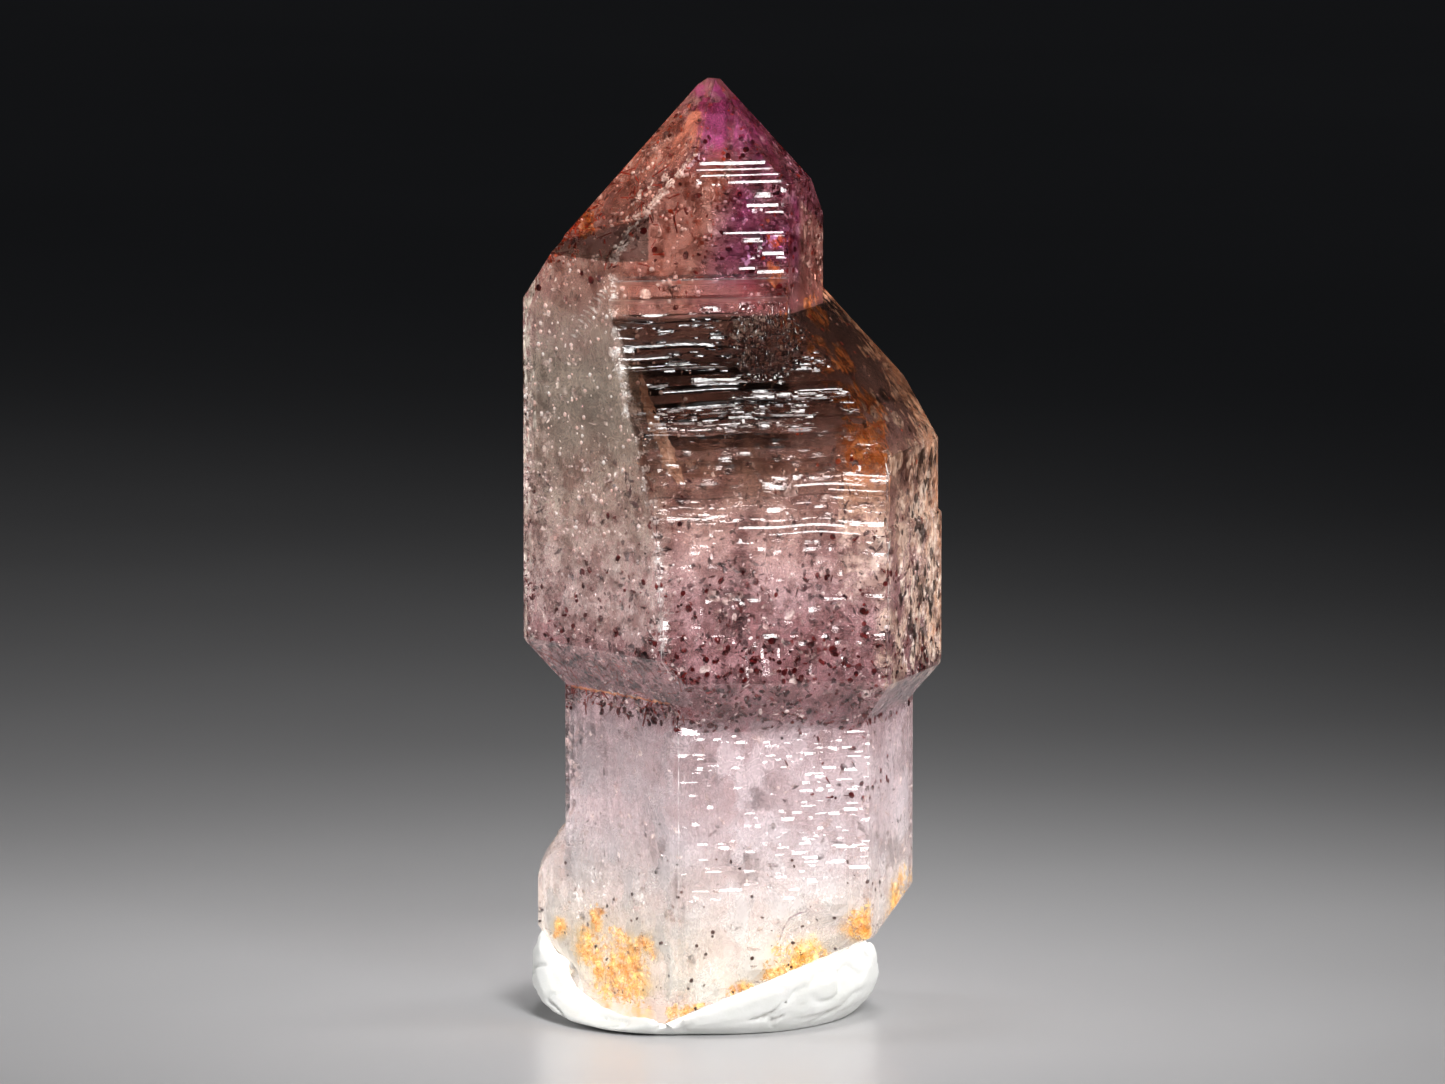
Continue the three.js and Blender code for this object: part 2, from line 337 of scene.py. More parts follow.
def blunt_edges(form):
    """Edges are worn by a few hundredths of a millimetre, which makes them shine as thin lines."""
    worn = []
    for edge in form.edges:
        if len(edge.link_faces) != 2 or min(v.co.z for v in edge.verts) < WORN_EDGE["above"]:
            continue
        bearings = {FAMILIES[f[family]][0] for f in edge.link_faces if f[family]}
        shortest = WORN_EDGE["steps longer than"] if len(bearings) == 2 else WORN_EDGE["longer than"]
        stepped = bearings == {FRONT} and all(f[family] for f in edge.link_faces)
        if (edge.is_convex and not stepped and edge.calc_length() > shortest
                and edge.calc_face_angle() > WORN_EDGE["sharper than"]):
            worn.append(edge)
    bmesh.ops.bevel(form, geom=worn, offset=WORN_EDGE["width"], segments=1, affect="EDGES",
                    clamp_overlap=True)
    for face in form.faces:
        if face[family] and not turned_to(face, FAMILIES[face[family]][0]):
            face[family] = 0
    return len(worn)


LEVELS = line_heights(crystal_form)
print("worn edges:", blunt_edges(crystal_form))
for number, (bearing, _) in enumerate(FAMILIES[1:], 1):
    faces = sorted((f for f in crystal_form.faces if f[family] == number), key=lambda f: f.index)
    cut_upright(crystal_form, faces, bearing, COLUMNS.get(bearing, WIDE_COLUMN))
crystal_form.faces.index_update()
cut_level(crystal_form, [f for f in crystal_form.faces if f[family]], LEVELS)
print("strips:", len(LEVELS), "levels,", len(crystal_form.faces), "faces")

# %% [markdown]
# Each growth line is a small step: a riser that leans back and catches the light from above and in front,
# and above it a long, almost upright rise back to the face. A step is deepest in its middle and runs out
# at both ends, like a lens. Lines are scattered over a face in zones, each with its own number, lengths
# and depths.

# %% Pressing in the growth lines
WHOLE = (-99, 99)
SCATTER = {
    (FRONT, False): [
        # from, to, which part across, how many, shortest, longest, least tilt, greatest tilt
        (45.3, 46.45, (-2.7, 1.3), 5, 1.2, 4.0, 17, 30),
        (45.0, 46.5, (-3.2, 1.2), 12, 0.3, 1.6, 12, 36),
        (43.4, 45.0, (0.0, 2.2), 9, 0.4, 2.0, 16, 30),
        (42.2, 42.7, (-1.4, 2.0), 2, 1.4, 3.4, 18, 28),
        (40.2, 42.3, (-0.2, 2.2), 12, 0.4, 2.0, 14, 34),
        (40.2, 45.0, WHOLE, 50, 0.3, 2.0, 3, 14),
        (38.2, 38.7, (-3.4, 2.5), 14, 0.3, 1.6, 14, 34),
        (36.0, 38.0, (-7.5, -0.6), 36, 0.3, 2.0, 15, 30),
        (35.2, 37.4, (0.0, 4.5), 44, 0.2, 1.0, 14, 45),
        (34.5, 36.2, WHOLE, 40, 0.4, 2.6, 13, 30),
        (33.5, 34.1, (-0.2, 5.0), 30, 0.6, 3.0, 15, 32),
        (32.2, 33.6, (-5.4, 2.6), 110, 0.4, 2.2, 12, 34),
        (31.0, 33.4, WHOLE, 40, 0.3, 1.8, 3, 20),
        (29.3, 29.8, (0.6, 7.0), 14, 0.6, 2.8, 16, 30),
        (28.7, 32.2, WHOLE, 150, 0.3, 1.4, 8, 25),
        (27.3, 27.8, (-1.2, 7.0), 8, 1.0, 3.6, 18, 28),
        (25.6, 28.6, WHOLE, 90, 0.3, 1.4, 8, 24),
        (19.5, 25.6, WHOLE, 130, 0.3, 1.4, 8, 23),
    ],
    (FRONT, True): [
        (7.2, 16.2, WHOLE, 130, 0.4, 1.9, 20, 29),
        (8.0, 16.0, (1.0, 8.0), 110, 0.5, 2.6, 21, 29),
        (14.4, 16.3, (-4.0, 6.0), 30, 0.8, 2.8, 21, 28),
    ],
    (LEFT, False): [(22.0, 38.0, WHOLE, 150, 0.7, 4.0, 1, 8)],
    (LEFT, True): [(7.2, 17.0, WHOLE, 60, 0.5, 3.0, 1, 10)],
    (BACK, False): [(19.5, 34.0, WHOLE, 260, 0.8, 5.0, 3, 24)],
    (BACK, True): [(7.2, 16.2, WHOLE, 140, 0.5, 3.0, 4, 24)],
    (BACK_LEFT, False): [(21.0, 38.0, WHOLE, 200, 0.8, 4.0, 3, 20)],
    (BACK_LEFT, True): [(7.2, 16.2, WHOLE, 90, 0.5, 3.0, 3, 20)],
    (BACK_RIGHT, False): [(20.0, 33.5, WHOLE, 160, 0.8, 4.0, 3, 20)],
    (BACK_RIGHT, True): [(7.2, 16.2, WHOLE, 90, 0.5, 3.0, 3, 20)],
    (RIGHT, False): [(20.0, 30.0, WHOLE, 60, 0.4, 1.6, 2, 14)],
    (RIGHT, True): [(7.2, 16.2, WHOLE, 50, 0.4, 1.5, 2, 14)],
}
LONG_LINES = [  # height, from, to and tilt of the longest lines of the head's front
    (46.40, -2.9, 0.6, 22), (46.12, -2.4, 1.4, 24), (45.78, -3.1, 1.2, 20), (45.42, -2.8, 1.6, 25),
    (45.05, -1.4, 1.7, 21), (43.90, -0.4, 1.5, 23), (43.50, 0.6, 1.8, 20), (42.45, -1.6, 1.8, 23),
    (41.30, 0.4, 1.8, 22), (40.55, -0.8, 1.7, 22), (40.35, 0.2, 1.8, 25), (38.05, -1.2, 2.2, 22),
    (36.60, -7.0, -2.0, 19), (36.05, -7.3, -4.3, 23), (35.50, -7.3, -1.6, 21), (34.30, -5.1, -0.8, 24),
    (34.20, 2.2, 4.7, 22), (29.80, 4.2, 7.2, 22), (29.50, 1.6, 5.6, 21), (29.20, 3.4, 6.6, 23),
    (27.30, -1.2, 4.5, 22), (26.95, 0.2, 5.2, 20),
]
TALLEST_RISER = 3
LONGEST_RISE = 4
LENS_ENDS = 4
LINE_ENDS = 8
SATIN_DEPTH = 0.12
STEP_WINDOW = 1.1
EVENED = [(19.0, 29.0), (38.3, 46.7)]
WANDER = 0.2
WANDER_SCALE = 0.32
WANDERING = (17.0, 38.3)
RELIEF_SEED = 100


def lens(along, middle, half_length, ends):
    """One at the middle of a line, and nothing past its ends."""
    return np.clip(1 - np.abs((along - middle) / half_length) ** ends, 0, 1)


def growth_relief(zones, lines, along, rows, seed):
    """How far in each point goes, for points at distances along the face and on the numbered level lines."""
    draw = np.random.default_rng(seed)
    inward = np.zeros(len(along))
    left, right = along.min(), along.max()
    for bottom, top, part, count, short, long, least_tilt, most_tilt in zones:
        first, last = np.searchsorted(LEVELS, (bottom, top))
        part_left, part_right = max(left, part[0]), min(right, part[1])
        for _ in range(count):
            row = int(draw.integers(first, max(first + 1, last - 1)))
            riser = min(row + int(draw.integers(1, TALLEST_RISER)), len(LEVELS) - 2)
            back = min(riser + int(draw.integers(1, LONGEST_RISE)), len(LEVELS) - 1)
            middle = draw.uniform(part_left, part_right)
            half_length = short * (long / short) ** draw.uniform(0, 1) / 2
            tilt = math.radians(draw.uniform(least_tilt, most_tilt))
            depth = math.tan(tilt) * (LEVELS[riser] - LEVELS[row])
            wave = 0.8 + 0.2 * np.sin(along * draw.uniform(1.5, 5.0) + draw.uniform(0, 6.3))
            fade = np.interp(LEVELS[rows], (LEVELS[row], LEVELS[riser], LEVELS[back]), (0, 1, 0))
            inward = np.maximum(inward, depth * lens(along, middle, half_length, LENS_ENDS) * wave * fade)
    for height, start, end, tilt in lines:
        row = min(int(np.abs(LEVELS - height).argmin()), len(LEVELS) - 3)
        here = lens(along, (start + end) / 2, (end - start) / 2, LINE_ENDS)
        depth = math.tan(math.radians(tilt)) * (LEVELS[row + 1] - LEVELS[row])
        for offset, share in enumerate((0, 1, 0.5)):
            inward = np.where((rows == row + offset) & (here > 0), depth * share * here ** 0.25, inward)
    return inward


def satin_relief(rows):
    """The broad bands: one riser each, pressed in at its upper edge, with a short rise above it."""
    inward = np.zeros(len(rows))
    for _, top in SATIN_BANDS:
        edge = int(np.abs(LEVELS - top).argmin())
        inward[rows == edge] = SATIN_DEPTH
        inward[rows == edge + 1] = SATIN_DEPTH / 2
    return inward


def evened(heights, reach, rows, on_line):
    """How far in each point of the head's front goes, to even out steps that the photograph doesn't show."""
    least = np.array([reach[on_line & (rows == i)].min(initial=np.inf) for i in range(len(LEVELS))])
    levels, least = LEVELS[np.isfinite(least)], least[np.isfinite(least)]
    least = np.array([least[np.abs(levels - z) < STEP_WINDOW].min() for z in levels])
    smooth = np.array([least[np.abs(levels - z) < STEP_WINDOW].mean() for z in levels])
    calm = sum((heights > bottom) & (heights < top) for bottom, top in EVENED)
    return np.maximum(reach - np.interp(heights, levels, smooth), 0) * calm


def press_in(form):
    by_family = {}
    touching = {}
    for corner in form.verts:
        touching[corner] = tuple(sorted({f[family] for f in corner.link_faces}))
        for number in touching[corner]:
            by_family.setdefault(number, []).append(corner)
    inward = {}
    for number, corners in by_family.items():
        if number == 0:
            continue
        bearing, of_stem = FAMILIES[number]
        along = np.array([v.co.dot(side_of(bearing)) for v in corners])
        heights = np.array([v.co.z for v in corners])
        rows = np.abs(heights[:, None] - LEVELS[None, :]).argmin(1)
        on_line = np.abs(heights - LEVELS[rows]) < 2 * HAIR
        head_front = (bearing, of_stem) == (FRONT, False)
        lines = LONG_LINES if head_front else []
        relief = growth_relief(SCATTER[bearing, of_stem], lines, along, rows, RELIEF_SEED + number)
        if head_front:
            reach = np.array([v.co.dot(facing(bearing)) for v in corners])
            relief = np.maximum(relief, satin_relief(rows)) + evened(heights, reach, rows, on_line)
        for corner, depth in zip(corners, np.where(on_line, relief, 0)):
            inward[number, corner] = float(depth)
    furthest = 0
    for corner, numbers in touching.items():
        if numbers == (0,) or len(numbers) > 2 or (0 in numbers and len(numbers) == 2):
            continue
        outs = np.array([facing(FAMILIES[n][0]) for n in numbers])
        depths = np.array([-inward[n, corner] for n in numbers])
        move = Vector(np.linalg.lstsq(outs, depths, rcond=None)[0])
        if len(numbers) == 1:
            wander = WANDER if WANDERING[0] < corner.co.z < WANDERING[1] else WANDER / 4
            move.z += wander * noise.noise(corner.co * WANDER_SCALE)
        furthest = max(furthest, move.length)
        corner.co += move
    return furthest


print("growth lines went in by up to", round(press_in(crystal_form), 3), "mm")

# %% [markdown]
# The foot broke off long ago. A break in quartz has no flat faces: it is curved and rippled like the
# inside of a shell. The foot's facets are divided finely here, and pressed in unevenly.

# %% The broken foot
FOOT_TOP = 9.6
FOOT_GRAIN = 0.5
FOOT_RELIEF = 0.16
FOOT_RIPPLES = [(0.9, 1.0), (2.3, 0.45), (5, 0.2)]  # scale and share of each
LOWEST_FACE = 0.72


def foot_faces(form):
    return [f for f in form.faces if not f[family] and high(f) < FOOT_TOP and high(f) > LOWEST_FACE]


def roughen_foot(form):
    bmesh.ops.triangulate(form, faces=foot_faces(form))
    for _ in range(4):
        within = foot_faces(form)
        long_edges = list({e for f in within for e in f.edges if e.calc_length() > FOOT_GRAIN})
        long_edges.sort(key=lambda e: e.index)
        bmesh.ops.subdivide_edges(form, edges=long_edges, cuts=1)
        bmesh.ops.triangulate(form, faces=foot_faces(form))
        form.edges.index_update()
    form.normal_update()
    within = set(foot_faces(form))
    loose = [v for v in form.verts if v.link_faces and all(f in within for f in v.link_faces)]
    moves = []
    for v in loose:
        ripple = sum(share * abs(noise.noise(v.co * scale)) for scale, share in FOOT_RIPPLES)
        moves.append(v.normal * -FOOT_RELIEF * ripple)
    for v, move in zip(loose, moves):
        v.co += move
    for face in within:
        face.smooth = True
    return len(within)


FOOT_LUMP = {"middle": Vector((-5.2, -2.2, 5.0)), "radii": Vector((4.7, 4.6, 4.5)), "below": (4.6, 3.4),
             "bearings": (-105, -15), "most": 1.0, "face": 7.37}


def round_out_foot(form):
    """The lowest part of the foot, at the left and in front, is a rounded lump."""
    middle, radii = FOOT_LUMP["middle"], FOOT_LUMP["radii"]
    moved = 0
    for v in form.verts:
        away = v.co - middle
        bearing = math.degrees(math.atan2(away.x, -away.y))
        share = min(1.0, (FOOT_LUMP["below"][0] - v.co.z) / (FOOT_LUMP["below"][0] - FOOT_LUMP["below"][1]))
        if share <= 0 or not FOOT_LUMP["bearings"][0] < bearing < FOOT_LUMP["bearings"][1]:
            continue
        fraction = Vector((away.x / radii.x, away.y / radii.y, away.z / radii.z)).length
        if not 0.5 < fraction < 1:
            continue
        step = away * (1 / fraction - 1) * share
        step = step * min(1.0, FOOT_LUMP["most"] / max(step.length, HAIR))
        beyond = (v.co + step).dot(facing(LEFT)) - FOOT_LUMP["face"]
        if beyond > 0:
            step -= facing(LEFT) * beyond
        v.co += step
        moved += 1
    return moved


print("foot:", roughen_foot(crystal_form), "faces;", round_out_foot(crystal_form), "corners of its lump")

# %% [markdown]
# ## Where the colours are
#
# Both the clear quartz and the milky veils inside it change colour along the crystal, at the same places.
# The tip grew last and is pink brown, with a patch of true amethyst purple on its right. Under a sharp
# line the quartz is smoky and clear, then mauve, and in the stem pale lavender. Rust has stained the
# broken foot in a few spots. These places are written once, as masks that any material can use.

# %% Colour zones
TOP = 50.0
TIP_LINE = 38.2
PURPLE_EDGE = (0.31, -2.1 - 0.31 * 39.0)  # a leaning line: its slope, and x where z is 0
PURPLE_END = 3.4
SUMMIT = 45.9
CLEAR_STRIP = {"from": 41.1, "line": 45.17, "slope": 0.376, "x": -4.4}
MILKY_SIDE = (7.2, 7.8)
LEFT_EDGE = (26.0, 38.0, 1.0, 0.68)  # two heights, and the share of the left face at each
LEFT_SLOPE = [(0.22, -1.09 - 0.22 * 50.04), (0.94, -1.82 - 0.94 * 46.67)]  # two leaning lines
RIGHT_SLOPE = (0.75, 36.46)
STREAKY_SIDE = (9.5, 9.9)
SATIN_REACH = 5.85
STAINS = [  # middle and radius of each rust spot
    ((-7.8, -2.2, 4.1), 1.6), ((-5.6, -4.8, 3.4), 2.0), ((-5.3, -5.1, 1.8), 2.0), ((-9.3, -0.4, 4.6), 0.8),
    ((3.7, -6.0, 4.0), 1.5), ((6.6, -6.2, 5.6), 1.2), ((8.7, -2.0, 6.6), 1.6), ((2.5, 6.6, 3.6), 2.0),
    ((-4.0, 6.4, 4.2), 1.8), ((7.2, 2.6, 5.2), 1.6),
    ((-6.9, -3.6, 2.6), 2.0), ((-4.3, -5.5, 4.6), 1.0), ((-7.4, -2.7, 5.4), 0.8), ((-2.4, -6.0, 1.3), 0.8),
    ((0.4, -6.2, 2.4), 0.7), ((2.2, -6.3, 3.3), 0.8),
]


def zones():
    """Masks that say where on the crystal a point is. Its place is in millimetres."""
    spot = add("VectorMath SCALE", {0: add("TexCoord").outputs["Object"], "Scale": 1 / MM})
    apart = add("SeparateXYZ", spot)
    x, z = apart.outputs["X"], apart.outputs["Z"]
    towards = {bearing: add("VectorMath DOT_PRODUCT", spot, facing(bearing)).outputs["Value"]
               for bearing in (LEFT, FRONT, RIGHT)}
    drift = add("TexNoise", {"Vector": spot, "Scale": 0.45, "Detail": 4.0})
    wander = add("Math MULTIPLY_ADD", drift, 2.4, -1.2)
    soft_height = add("Math ADD", z, wander)
    tip = add("MapRange", add("Math MULTIPLY_ADD", wander, 0.12, z), TIP_LINE - 0.12, TIP_LINE + 0.12)
    past_edge = add("Math SUBTRACT", x, add("Math MULTIPLY_ADD", z, *PURPLE_EDGE))
    past_edge = add("Math ADD", past_edge, wander)
    over_strip = add("Math MULTIPLY_ADD", x, -CLEAR_STRIP["slope"], z)
    left_reach = add("Math SUBTRACT", towards[LEFT], AXIS.dot(facing(LEFT)))
    left_reach = add("Math MULTIPLY", left_reach, add("MapRange", z, *LEFT_EDGE))
    left_reach = add("Math MULTIPLY_ADD", wander, 0.5, left_reach)
    front_reach = add("Math SUBTRACT", towards[FRONT], AXIS.dot(facing(FRONT)))
    past_front = add("Math SUBTRACT", left_reach, front_reach)
    lines = [add("Math SUBTRACT", x, add("Math MULTIPLY_ADD", z, *line)) for line in LEFT_SLOPE]
    over_right = add("Math MULTIPLY_ADD", z, RIGHT_SLOPE[0], x)
    stains = []
    for middle, radius in STAINS:
        away = add("VectorMath DISTANCE", spot, middle).outputs["Value"]
        stains.append(add("MapRange", away, radius, radius * 0.3))
    masks = {
        "tip": ("MULTIPLY", tip),
        "summit": ("MULTIPLY", add("MapRange", soft_height, SUMMIT, SUMMIT + 1.6),
                   add("MapRange", past_edge, -5.2, -3.6)),
        "purple": ("MULTIPLY", add("MapRange", past_edge, -0.5, 0.7),
                   add("MapRange", x, PURPLE_END + 0.2, PURPLE_END),
                   add("MapRange", drift, 0.40, 0.58, 1.0, 0.68),
                   add("MapRange", z, 39.4, 41.2, 0.45, 1.0)),
        "strip": ("MULTIPLY",
                  add("MapRange", over_strip, CLEAR_STRIP["line"] + 0.1, CLEAR_STRIP["line"] - 0.1),
                  add("Math LESS_THAN", x, CLEAR_STRIP["x"]),
                  add("Math GREATER_THAN", z, CLEAR_STRIP["from"])),
        "left": ("MULTIPLY", add("MapRange", towards[LEFT], *MILKY_SIDE),
                 add("MapRange", soft_height, 18.5, 22.5),
                 add("MapRange", z, CLEAR_STRIP["from"] + 0.1, CLEAR_STRIP["from"]),
                 add("MapRange", past_front, -0.1, 0.15)),
        "right": ("MULTIPLY", add("MapRange", towards[RIGHT], *STREAKY_SIDE)),
        "left slope": ("MULTIPLY", add("MapRange", add("Math MAXIMUM", *lines), 0.08, -0.08), tip),
        "right slope": ("MULTIPLY", add("MapRange", over_right, RIGHT_SLOPE[1] - 0.1, RIGHT_SLOPE[1] + 0.1)),
        "stain": ("MAXIMUM", *stains),
    }
    at = {"spot": spot, "z": z, "front": towards[FRONT], "up": add("Math DIVIDE", soft_height, TOP),
          "smudge": add("TexNoise", {"Vector": spot, "Scale": 0.75, "Detail": 5.0, "Roughness": 0.65})}
    for name, (joined, first, *others) in masks.items():
        at[name] = first
        for other in others:
            at[name] = add("Math " + joined, at[name], other)
    at["purple"] = add("Math MULTIPLY", add("Math MAXIMUM", at["purple"], at["summit"]), tip)
    return at


print("rust spots:", len(STAINS))

# %% [markdown]
# ## The quartz
#
# Quartz is clear, with an index of refraction of 1.544. Its faces grew smooth, so light passes them
# almost unscattered, but a fine unevenness makes what is behind them shimmer. The broad bands on the
# front are satin, and the broken foot has the dull shell-like surface of a fracture. The purple comes
# from iron in the quartz and grows stronger with depth, which plain absorption in the volume gives, and
# the zones tint the faces.

# %% The quartz
QUARTZ_IOR = 1.544
BELOW_TINTS = [(0.1, "#f2ece6"), (0.22, "#efe4e8"), (0.5, "#ecdedf"), (0.60, "#a08478"), (0.66, "#33221a")]
LEFT_TINTS = [(0.5, "#f0e4e4"), (0.62, "#e8e2dc"), (0.74, "#e8e2dc"), (0.80, "#ecd4c8")]
TIP_TINTS = {"summit": "#c888a8", "left slope": "#d4a490", "right slope": "#884c60"}
CRACKLE = {"middle": (1.8, -6.0, 36.9), "radius": 2.2}
SMOOTH, SATIN = 0.03, 0.3
SMUDGE_STRENGTHS = [(0.32, 0.15), (0.36, 0.75), (0.6, 0.75), (0.64, 0.3), (0.76, 0.3), (0.78, 0.8)]
ETCHING = [(0.12, 0.8), (0.2, 0.4), (0.33, 0.4), (0.36, 1.0), (0.75, 1.0), (0.77, 0.35)]
FOOT_ROUGHNESS = [(0.0, 0.3), (0.1, 0.2), (0.16, SMOOTH)]
BAND_ROUGHNESS = [(0.775, SMOOTH), (0.7765, SATIN), (0.7815, SATIN), (0.783, SMOOTH),
                  (0.7955, SMOOTH), (0.797, SATIN), (0.802, SATIN), (0.8035, SMOOTH)]


def quartz():
    material = new_material("amethyst quartz, grown faces")
    at = zones()
    tip = add("MixRGB", at["purple"], "#d0a090", "#a04c8c")
    for zone, tint in TIP_TINTS.items():
        tip = add("MixRGB", at[zone], tip, tint)
    grown = add("MixRGB", at["tip"], add("ValToRGB", at["up"], stops=BELOW_TINTS), tip)
    grown = add("MixRGB", at["left"], grown, add("ValToRGB", at["up"], stops=LEFT_TINTS))
    grown = add("MixRGB", at["strip"], grown, "#5c5048")
    smudges = add("MapRange", at["smudge"], 0.46, 0.56)
    smudges = add("Math MULTIPLY", smudges, add("ValToRGB", at["up"], stops=SMUDGE_STRENGTHS))
    grown = add("MixRGB", smudges, grown, "#744c44", blend_type="MULTIPLY")
    crumbs = add("TexNoise", {"Vector": at["spot"], "Scale": 1.6, "Detail": 6.0, "Roughness": 0.7})
    rust = add("Math MULTIPLY", at["stain"], add("MapRange", crumbs, 0.38, 0.55))
    colour = add("MixRGB", rust, grown, "#ecca84")

    ripple = add("TexNoise", {"Vector": at["spot"], "Scale": 1.3, "Detail": 3.0, "Distortion": 0.6})
    level = add("VectorMath MULTIPLY", at["spot"], (1.0, 1.0, 2.6))
    etched = add("TexNoise", {"Vector": level, "Scale": 2.6, "Detail": 3.0})
    near_crackle = add("VectorMath DISTANCE", at["spot"], CRACKLE["middle"]).outputs["Value"]
    crackle_here = add("MapRange", near_crackle, CRACKLE["radius"], CRACKLE["radius"] * 0.6)
    tall = add("VectorMath MULTIPLY", at["spot"], (1.0, 1.0, 0.45))
    crackle = add("TexVoronoi", {"Vector": tall, "Scale": 4.2}, feature="F1")
    crackle = add("Math MULTIPLY", crackle, crackle_here)
    height = add("Math DIVIDE", at["z"], TOP)

    bump = add("Bump", {"Height": ripple, "Strength": 1.0, "Distance": 0.02 * MM})
    bump = add("Bump", {"Height": etched, "Strength": add("ValToRGB", height, stops=ETCHING),
                        "Distance": 0.022 * MM, "Normal": bump})
    bump = add("Bump", {"Height": crackle, "Strength": 1.0, "Distance": 0.35 * MM, "Normal": bump})

    rough = add("MixRGB", add("Math GREATER_THAN", at["front"], SATIN_REACH),
                add("ValToRGB", height, stops=FOOT_ROUGHNESS), add("ValToRGB", height, stops=BAND_ROUGHNESS))
    surface_of = add("BsdfPrincipled", {"Base Color": colour, "Roughness": rough, "IOR": QUARTZ_IOR,
                                        "Transmission Weight": 1.0, "Normal": bump})
    add("OutputMaterial", surface_of, add("VolumeAbsorption", {"Color": "#dcc4c4", "Density": 45.0}))
    return material


def put_on_body(name, mesh, material, casts_shadow=False):
    mesh.materials.clear()
    mesh.materials.append(material)
    piece = bpy.data.objects.new(name, mesh)
    bpy.context.scene.collection.objects.link(piece)
    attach(piece, "root")
    piece.visible_shadow = casts_shadow
    return piece


def put_in_order(form):
    """Sorts the faces by their corners, so that their order is the same each time the script runs."""
    form.verts.index_update()
    ordered = sorted(form.faces, key=lambda f: sorted(v.index for v in f.verts))
    rank = {face: number for number, face in enumerate(ordered)}
    form.faces.sort(key=rank.get)
    form.faces.index_update()


put_in_order(crystal_form)
surface = BVHTree.FromBMesh(crystal_form)
mesh = bpy.data.meshes.new("crystal")
crystal_form.transform(Matrix.Scale(MM, 4))
crystal_form.to_mesh(mesh)
crystal_form.free()
crystal = put_on_body("crystal", mesh, quartz())
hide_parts(CRYSTAL_NODE)
print("crystal mesh:", len(crystal.data.polygons), "faces")

# %% [markdown]
# ## Inside the quartz
#
# What makes this crystal is what it has inside: milky veils, dark red platelets of iron minerals, and
# bright points. They are real meshes inside the clear solid, so they shift behind each other as the view
# turns. To place them, a ray goes out from the crystal's middle and finds how far its surface is at any
# height and bearing.

# %% Finding the surface from inside
SUMMIT_AT = Vector((-1.05, -3.7, 0))
LEANS_FROM = 39.0
SUMMIT_HEIGHT = 50.3


def middle_at(height):
    """The middle of the crystal at a height. It leans towards the summit, which isn't over the axis."""
    share = min(1.0, max(0.0, (height - LEANS_FROM) / (SUMMIT_HEIGHT - LEANS_FROM)))
    return AXIS.lerp(SUMMIT_AT, share) + UP * height


def reach_at(bearing, height):
    hit = surface.ray_cast(middle_at(height), facing(bearing))
    return hit[3] if hit[0] is not None else 0.0


def under_surface(place, depth):
    here, out, _, _ = surface.find_nearest(place)
    return here - out * depth


def grid_faces(rows, columns, around=False, first=0):
    """The faces between the corners of a grid. Around: its last column meets its first."""
    faces = []
    for row in range(rows - 1):
        for column in range(columns if around else columns - 1):
            a = first + row * columns
            b = (column + 1) % columns
            faces.append((a + column, a + b, a + columns + b, a + columns + column))
    return faces


def mesh_piece(name, corners, faces, material, casts_shadow=False):
    mesh = bpy.data.meshes.new(name)
    mesh.from_pydata((np.asarray(corners) * MM).tolist(), [], faces)
    piece = put_on_body(name, mesh, material, casts_shadow)
    return piece


print("reach of the stem at the front:", round(reach_at(FRONT, 12.0), 2), "mm")

# %% [markdown]
# ### Milky veils
#
# The milk in quartz lies in growth zones, one inside the other, that repeat the crystal's outline. Each
# zone is a thin sheet here, a copy of the outline drawn in towards the axis, and its cloudiness changes
# from place to place. A true fog would need a scattering volume, which other programs can't read, and
# some sheets in a row look the same.

# %% The veils
VEIL_SHARES = (0.97, 0.92, 0.83, 0.72, 0.6, 0.47, 0.33)
VEIL_MARGINS = (0.3, 0.7)
VEIL_SIDES = 72
VEIL_ROWS = 84
VEIL_BOTTOM = 1.9
VEIL_TOP = 48.4
VEIL_WAVE = 0.22
CLOUD_REACH = 7.0
BELOW_MILK = [(0.06, "#f0eee8"), (0.2, "#e4dedf"), (0.30, "#dcd0d2"), (0.335, "#dcccd0"), (0.345, "#b08c92"),
              (0.41, "#c8a0a4"), (0.47, "#d8bcbe"), (0.54, "#dcc0b8"), (0.60, "#a88878"), (0.66, "#5a4034")]
LEFT_MILK = [(0.36, "#d8b8b4"), (0.46, "#f0e0dc"), (0.56, "#d4c8bc"), (0.74, "#c8bcb0"), (0.80, "#d4b8ac")]
TIP_AMOUNT = 0.028
TIP_MILK = {"summit": ("#cc7cac", 0.2), "left slope": ("#dca08c", 0.13), "right slope": ("#8c4458", 0.03)}
BELOW_AMOUNTS = [(0.0, 0.45), (0.16, 0.28), (0.28, 0.21), (0.335, 0.18), (0.345, 0.12),
                 (0.46, 0.15), (0.55, 0.13), (0.60, 0.06), (0.63, 0.015), (0.66, 0.002)]
SIDE_AMOUNTS = {"left": [(0.36, 0.34), (0.46, 0.4), (0.56, 0.25), (0.8, 0.26)],
                "right": [(0.56, 0.46), (0.585, 0.24)]}
CRINKLE_SHARES = [(0.30, 0.5), (0.345, 1.0), (0.56, 1.0), (0.64, 0.35), (0.8, 0.5)]


